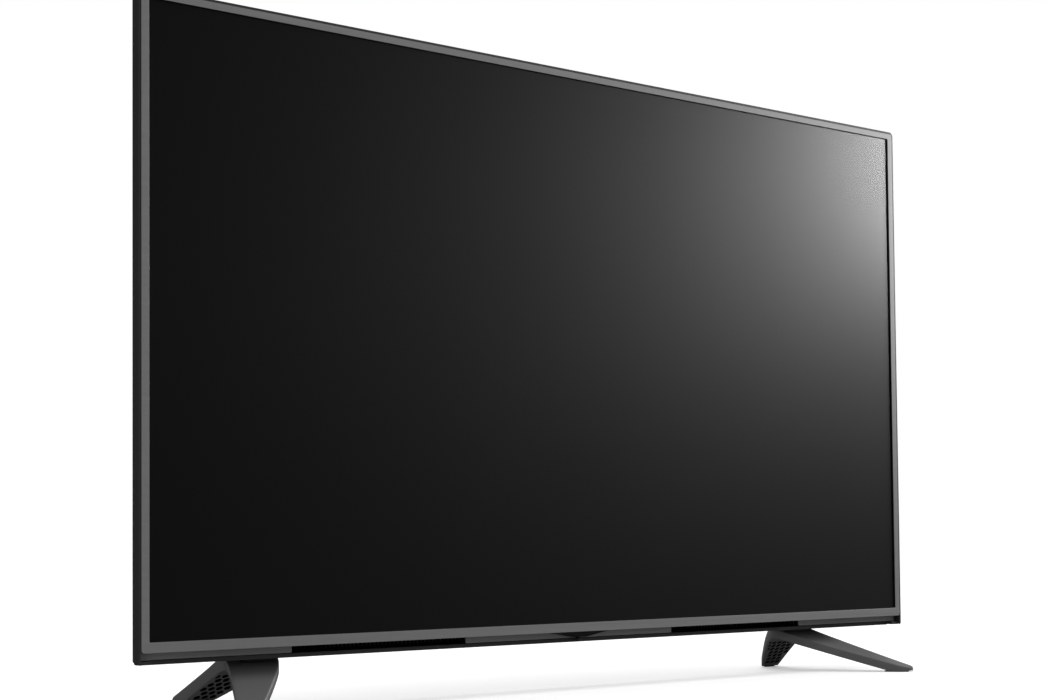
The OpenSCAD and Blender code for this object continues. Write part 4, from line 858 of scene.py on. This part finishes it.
# remote window, eased all round
windowEase = {"edge": 0.00035, "turn": 20}


def makeWindow():
    obj = mergedNode("ir_window", "remoteWindow")
    softEdges(obj, windowEase["edge"], segments=3, angle=windowEase["turn"])
    dress(obj, finishes["dark_window"], "set", ["ir_window"])


makeWindow()
print("remote window done")


# tongues and contacts inside the sockets
contact = {"tongue": 0.0011, "long": 0.0075, "inset": 0.0012, "gap": 0.0022, "edge": 0.0002, "pitch": 0.0011,
           "pin": 0.0005, "rise": 0.00025, "sink": 0.0001, "heel": 0.001, "toe": 0.0008, "ease": 0.00006}
videoPair = {"step": 0.034, "deep": 0.0033, "pins": 9}
dataSocket = {"deep": 0.0042, "stout": 1.6, "pins": 4}
networkJack = {"pins": 8, "from": 0.0085, "to": 0.0015, "low": 0.0012, "high": 0.0016}


def contactRow(name, pins):
    row = joinAll(pins[0], pins[1:])
    row.name = name
    softEdges(row, contact["ease"])
    dress(row, finishes["port_metal"], "set")


def addTongue(name, mouth, y, z, half, thick, count):  # a plastic tongue, with contacts on its face
    back, face, pin = mouth - contact["long"], y + thick / 2, contact["pin"] / 2
    obj = addBox(name, (back, y - thick / 2, z - half), (mouth, face, z + half))
    softEdges(obj, contact["edge"])
    dress(obj, finishes["black_plastic"], "set")
    pins = []
    for i in range(count):
        pinZ = z + (i - (count - 1) / 2) * contact["pitch"]
        pins.append(addBox(name + "Contact", (back + contact["heel"], face - contact["sink"], pinZ - pin),
                           (mouth - contact["toe"], face + contact["rise"], pinZ + pin)))
    contactRow(name + "Contacts", pins)


def makeContacts():
    low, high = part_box("video_ports")
    mouth = high.x - contact["inset"]
    half = (high.z - low.z - videoPair["step"]) / 2  # of one socket's height
    for i in range(2):
        addTongue("videoTongue" + str(i + 1), mouth, high.y - videoPair["deep"],
                  low.z + half + i * videoPair["step"], half - contact["gap"], contact["tongue"],
                  videoPair["pins"])
    low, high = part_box("data_port")
    addTongue("dataTongue", mouth, high.y - dataSocket["deep"], (low.z + high.z) / 2,
              (high.z - low.z) / 2 - contact["gap"], contact["tongue"] * dataSocket["stout"],
              dataSocket["pins"])
    low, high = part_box("network_port")
    mid, pin = (low + high) / 2, contact["pin"] / 2
    pins = []
    for i in range(networkJack["pins"]):
        x = mid.x + (i - (networkJack["pins"] - 1) / 2) * contact["pitch"]
        pins.append(addBox("networkPin", (x - pin, high.y - networkJack["from"], mid.z + networkJack["low"]),
                           (x + pin, high.y - networkJack["to"], mid.z + networkJack["high"])))
    contactRow("networkContacts", pins)


makeContacts()
print("contacts done")


# stage: white for the camera; gloss shows white behind the set, and dark in front of it and on the floor
stage = {"size": 40, "floor": 0.9, "lift": 0.35, "mirror": 0.05, "bounce": 0.58, "back": 1.0, "fill": 0.75,
         "front": 0.02, "behind": 0.9, "way": (0.643, 0.766, 0.0), "from": 0.55, "full": 0.95}


def stageFloor():
    clearAll()
    bpy.ops.mesh.primitive_plane_add(size=stage["size"], location=(0, 0, 0))
    floor = bpy.context.object
    floor.name = "studioFloor"
    settle(floor)
    f = Finish("studioFloor")
    seen = f.put("ShaderNodeLightPath", out="Is Camera Ray")
    tone = stage["bounce"] + seen * (stage["floor"] - stage["bounce"])
    colour = f.put("ShaderNodeCombineColor", None, {0: tone, 1: tone, 2: tone})
    paper = f.put("ShaderNodeBsdfDiffuse", None, {"Color": colour})
    dim = f.put("ShaderNodeBsdfDiffuse", None, {"Color": grey(stage["mirror"])})
    glow = f.put("ShaderNodeEmission", None, {"Color": grey(1.0), "Strength": seen * stage["lift"]})
    bright = f.put("ShaderNodeAddShader", None, {0: paper, 1: glow})
    floor.data.materials.append(f.close(
        f.put("ShaderNodeMixShader", None, {0: seen.twin("Is Glossy Ray"), 1: bright, 2: dim})))


def stageWorld():
    world = bpy.data.worlds.new("studio")
    bpy.context.scene.world = world
    w = NodeBench(world)
    seen = w.put("ShaderNodeLightPath", out="Is Camera Ray")
    shine = seen.twin("Is Glossy Ray")
    spot = w.put("ShaderNodeTexCoord", out="Generated")
    near = w.put("ShaderNodeVectorMath", {"operation": "DOT_PRODUCT"}, {0: spot, 1: stage["way"]}, out="Value")
    rear = w.put("ShaderNodeMapRange", {"interpolation_type": "SMOOTHSTEP"},
                 {"Value": near, "From Min": stage["from"], "From Max": stage["full"],
                  "To Min": stage["front"], "To Max": stage["behind"]})
    level = seen * stage["back"] + (1 - seen) * (shine * rear + (1 - shine) * stage["fill"])
    glow = w.put("ShaderNodeBackground", None, {"Color": grey(1.0), "Strength": level})
    w.put("ShaderNodeOutputWorld", None, {0: glow})


lamps = {
    "top": {"at": (0.2, -0.6, 3.2), "to": (0, 0, 0.2), "size": (4.0, 3.0), "power": 45},
    "glare": {"at": (3.57, -0.97, 1.36), "to": (0.45, 0, 0.4), "size": (1.7, 0.6), "power": 322, "gloss": True},
}


def stageLamps():
    for name, spec in lamps.items():
        lamp = bpy.data.lights.new(name + "Lamp", "AREA")
        lamp.shape = "RECTANGLE"
        lamp.size, lamp.size_y = spec["size"]
        lamp.energy = spec["power"]
        obj = bpy.data.objects.new(name + "Lamp", lamp)
        bpy.context.scene.collection.objects.link(obj)
        obj.location = spec["at"]
        aim = Vector(spec["to"]) - Vector(spec["at"])
        obj.rotation_euler = aim.to_track_quat("-Z", "Y").to_euler()
        obj.visible_diffuse = not spec.get("gloss")  # the side lamp only makes highlights


shot = {"at": (-1.4302, -1.6441, 0.1694), "turn": (2.59, -0.37, -40.01), "lens": 66.53,
        "shift": (-0.006, 0.098), "sensor": 36, "clip": (0.05, 200)}


def stageCamera():
    data = bpy.data.cameras.new("shot")
    obj = bpy.data.objects.new("shot", data)
    bpy.context.scene.collection.objects.link(obj)
    spin = Vector([math.radians(a) for a in shot["turn"]])  # one turn about one axis, from a level view along Y
    turn = Matrix.Rotation(spin.length, 4, spin.normalized()) @ Matrix.Rotation(math.pi / 2, 4, "X")
    obj.matrix_world = Matrix.Translation(shot["at"]) @ turn
    data.sensor_fit = "HORIZONTAL"
    data.sensor_width = shot["sensor"]
    data.lens = shot["lens"]
    data.shift_x, data.shift_y = shot["shift"]
    data.clip_start, data.clip_end = shot["clip"]
    bpy.context.scene.camera = obj


stageFloor()
stageWorld()
stageLamps()
stageCamera()
bpy.context.scene.view_settings.view_transform = "Standard"
print("stage done")
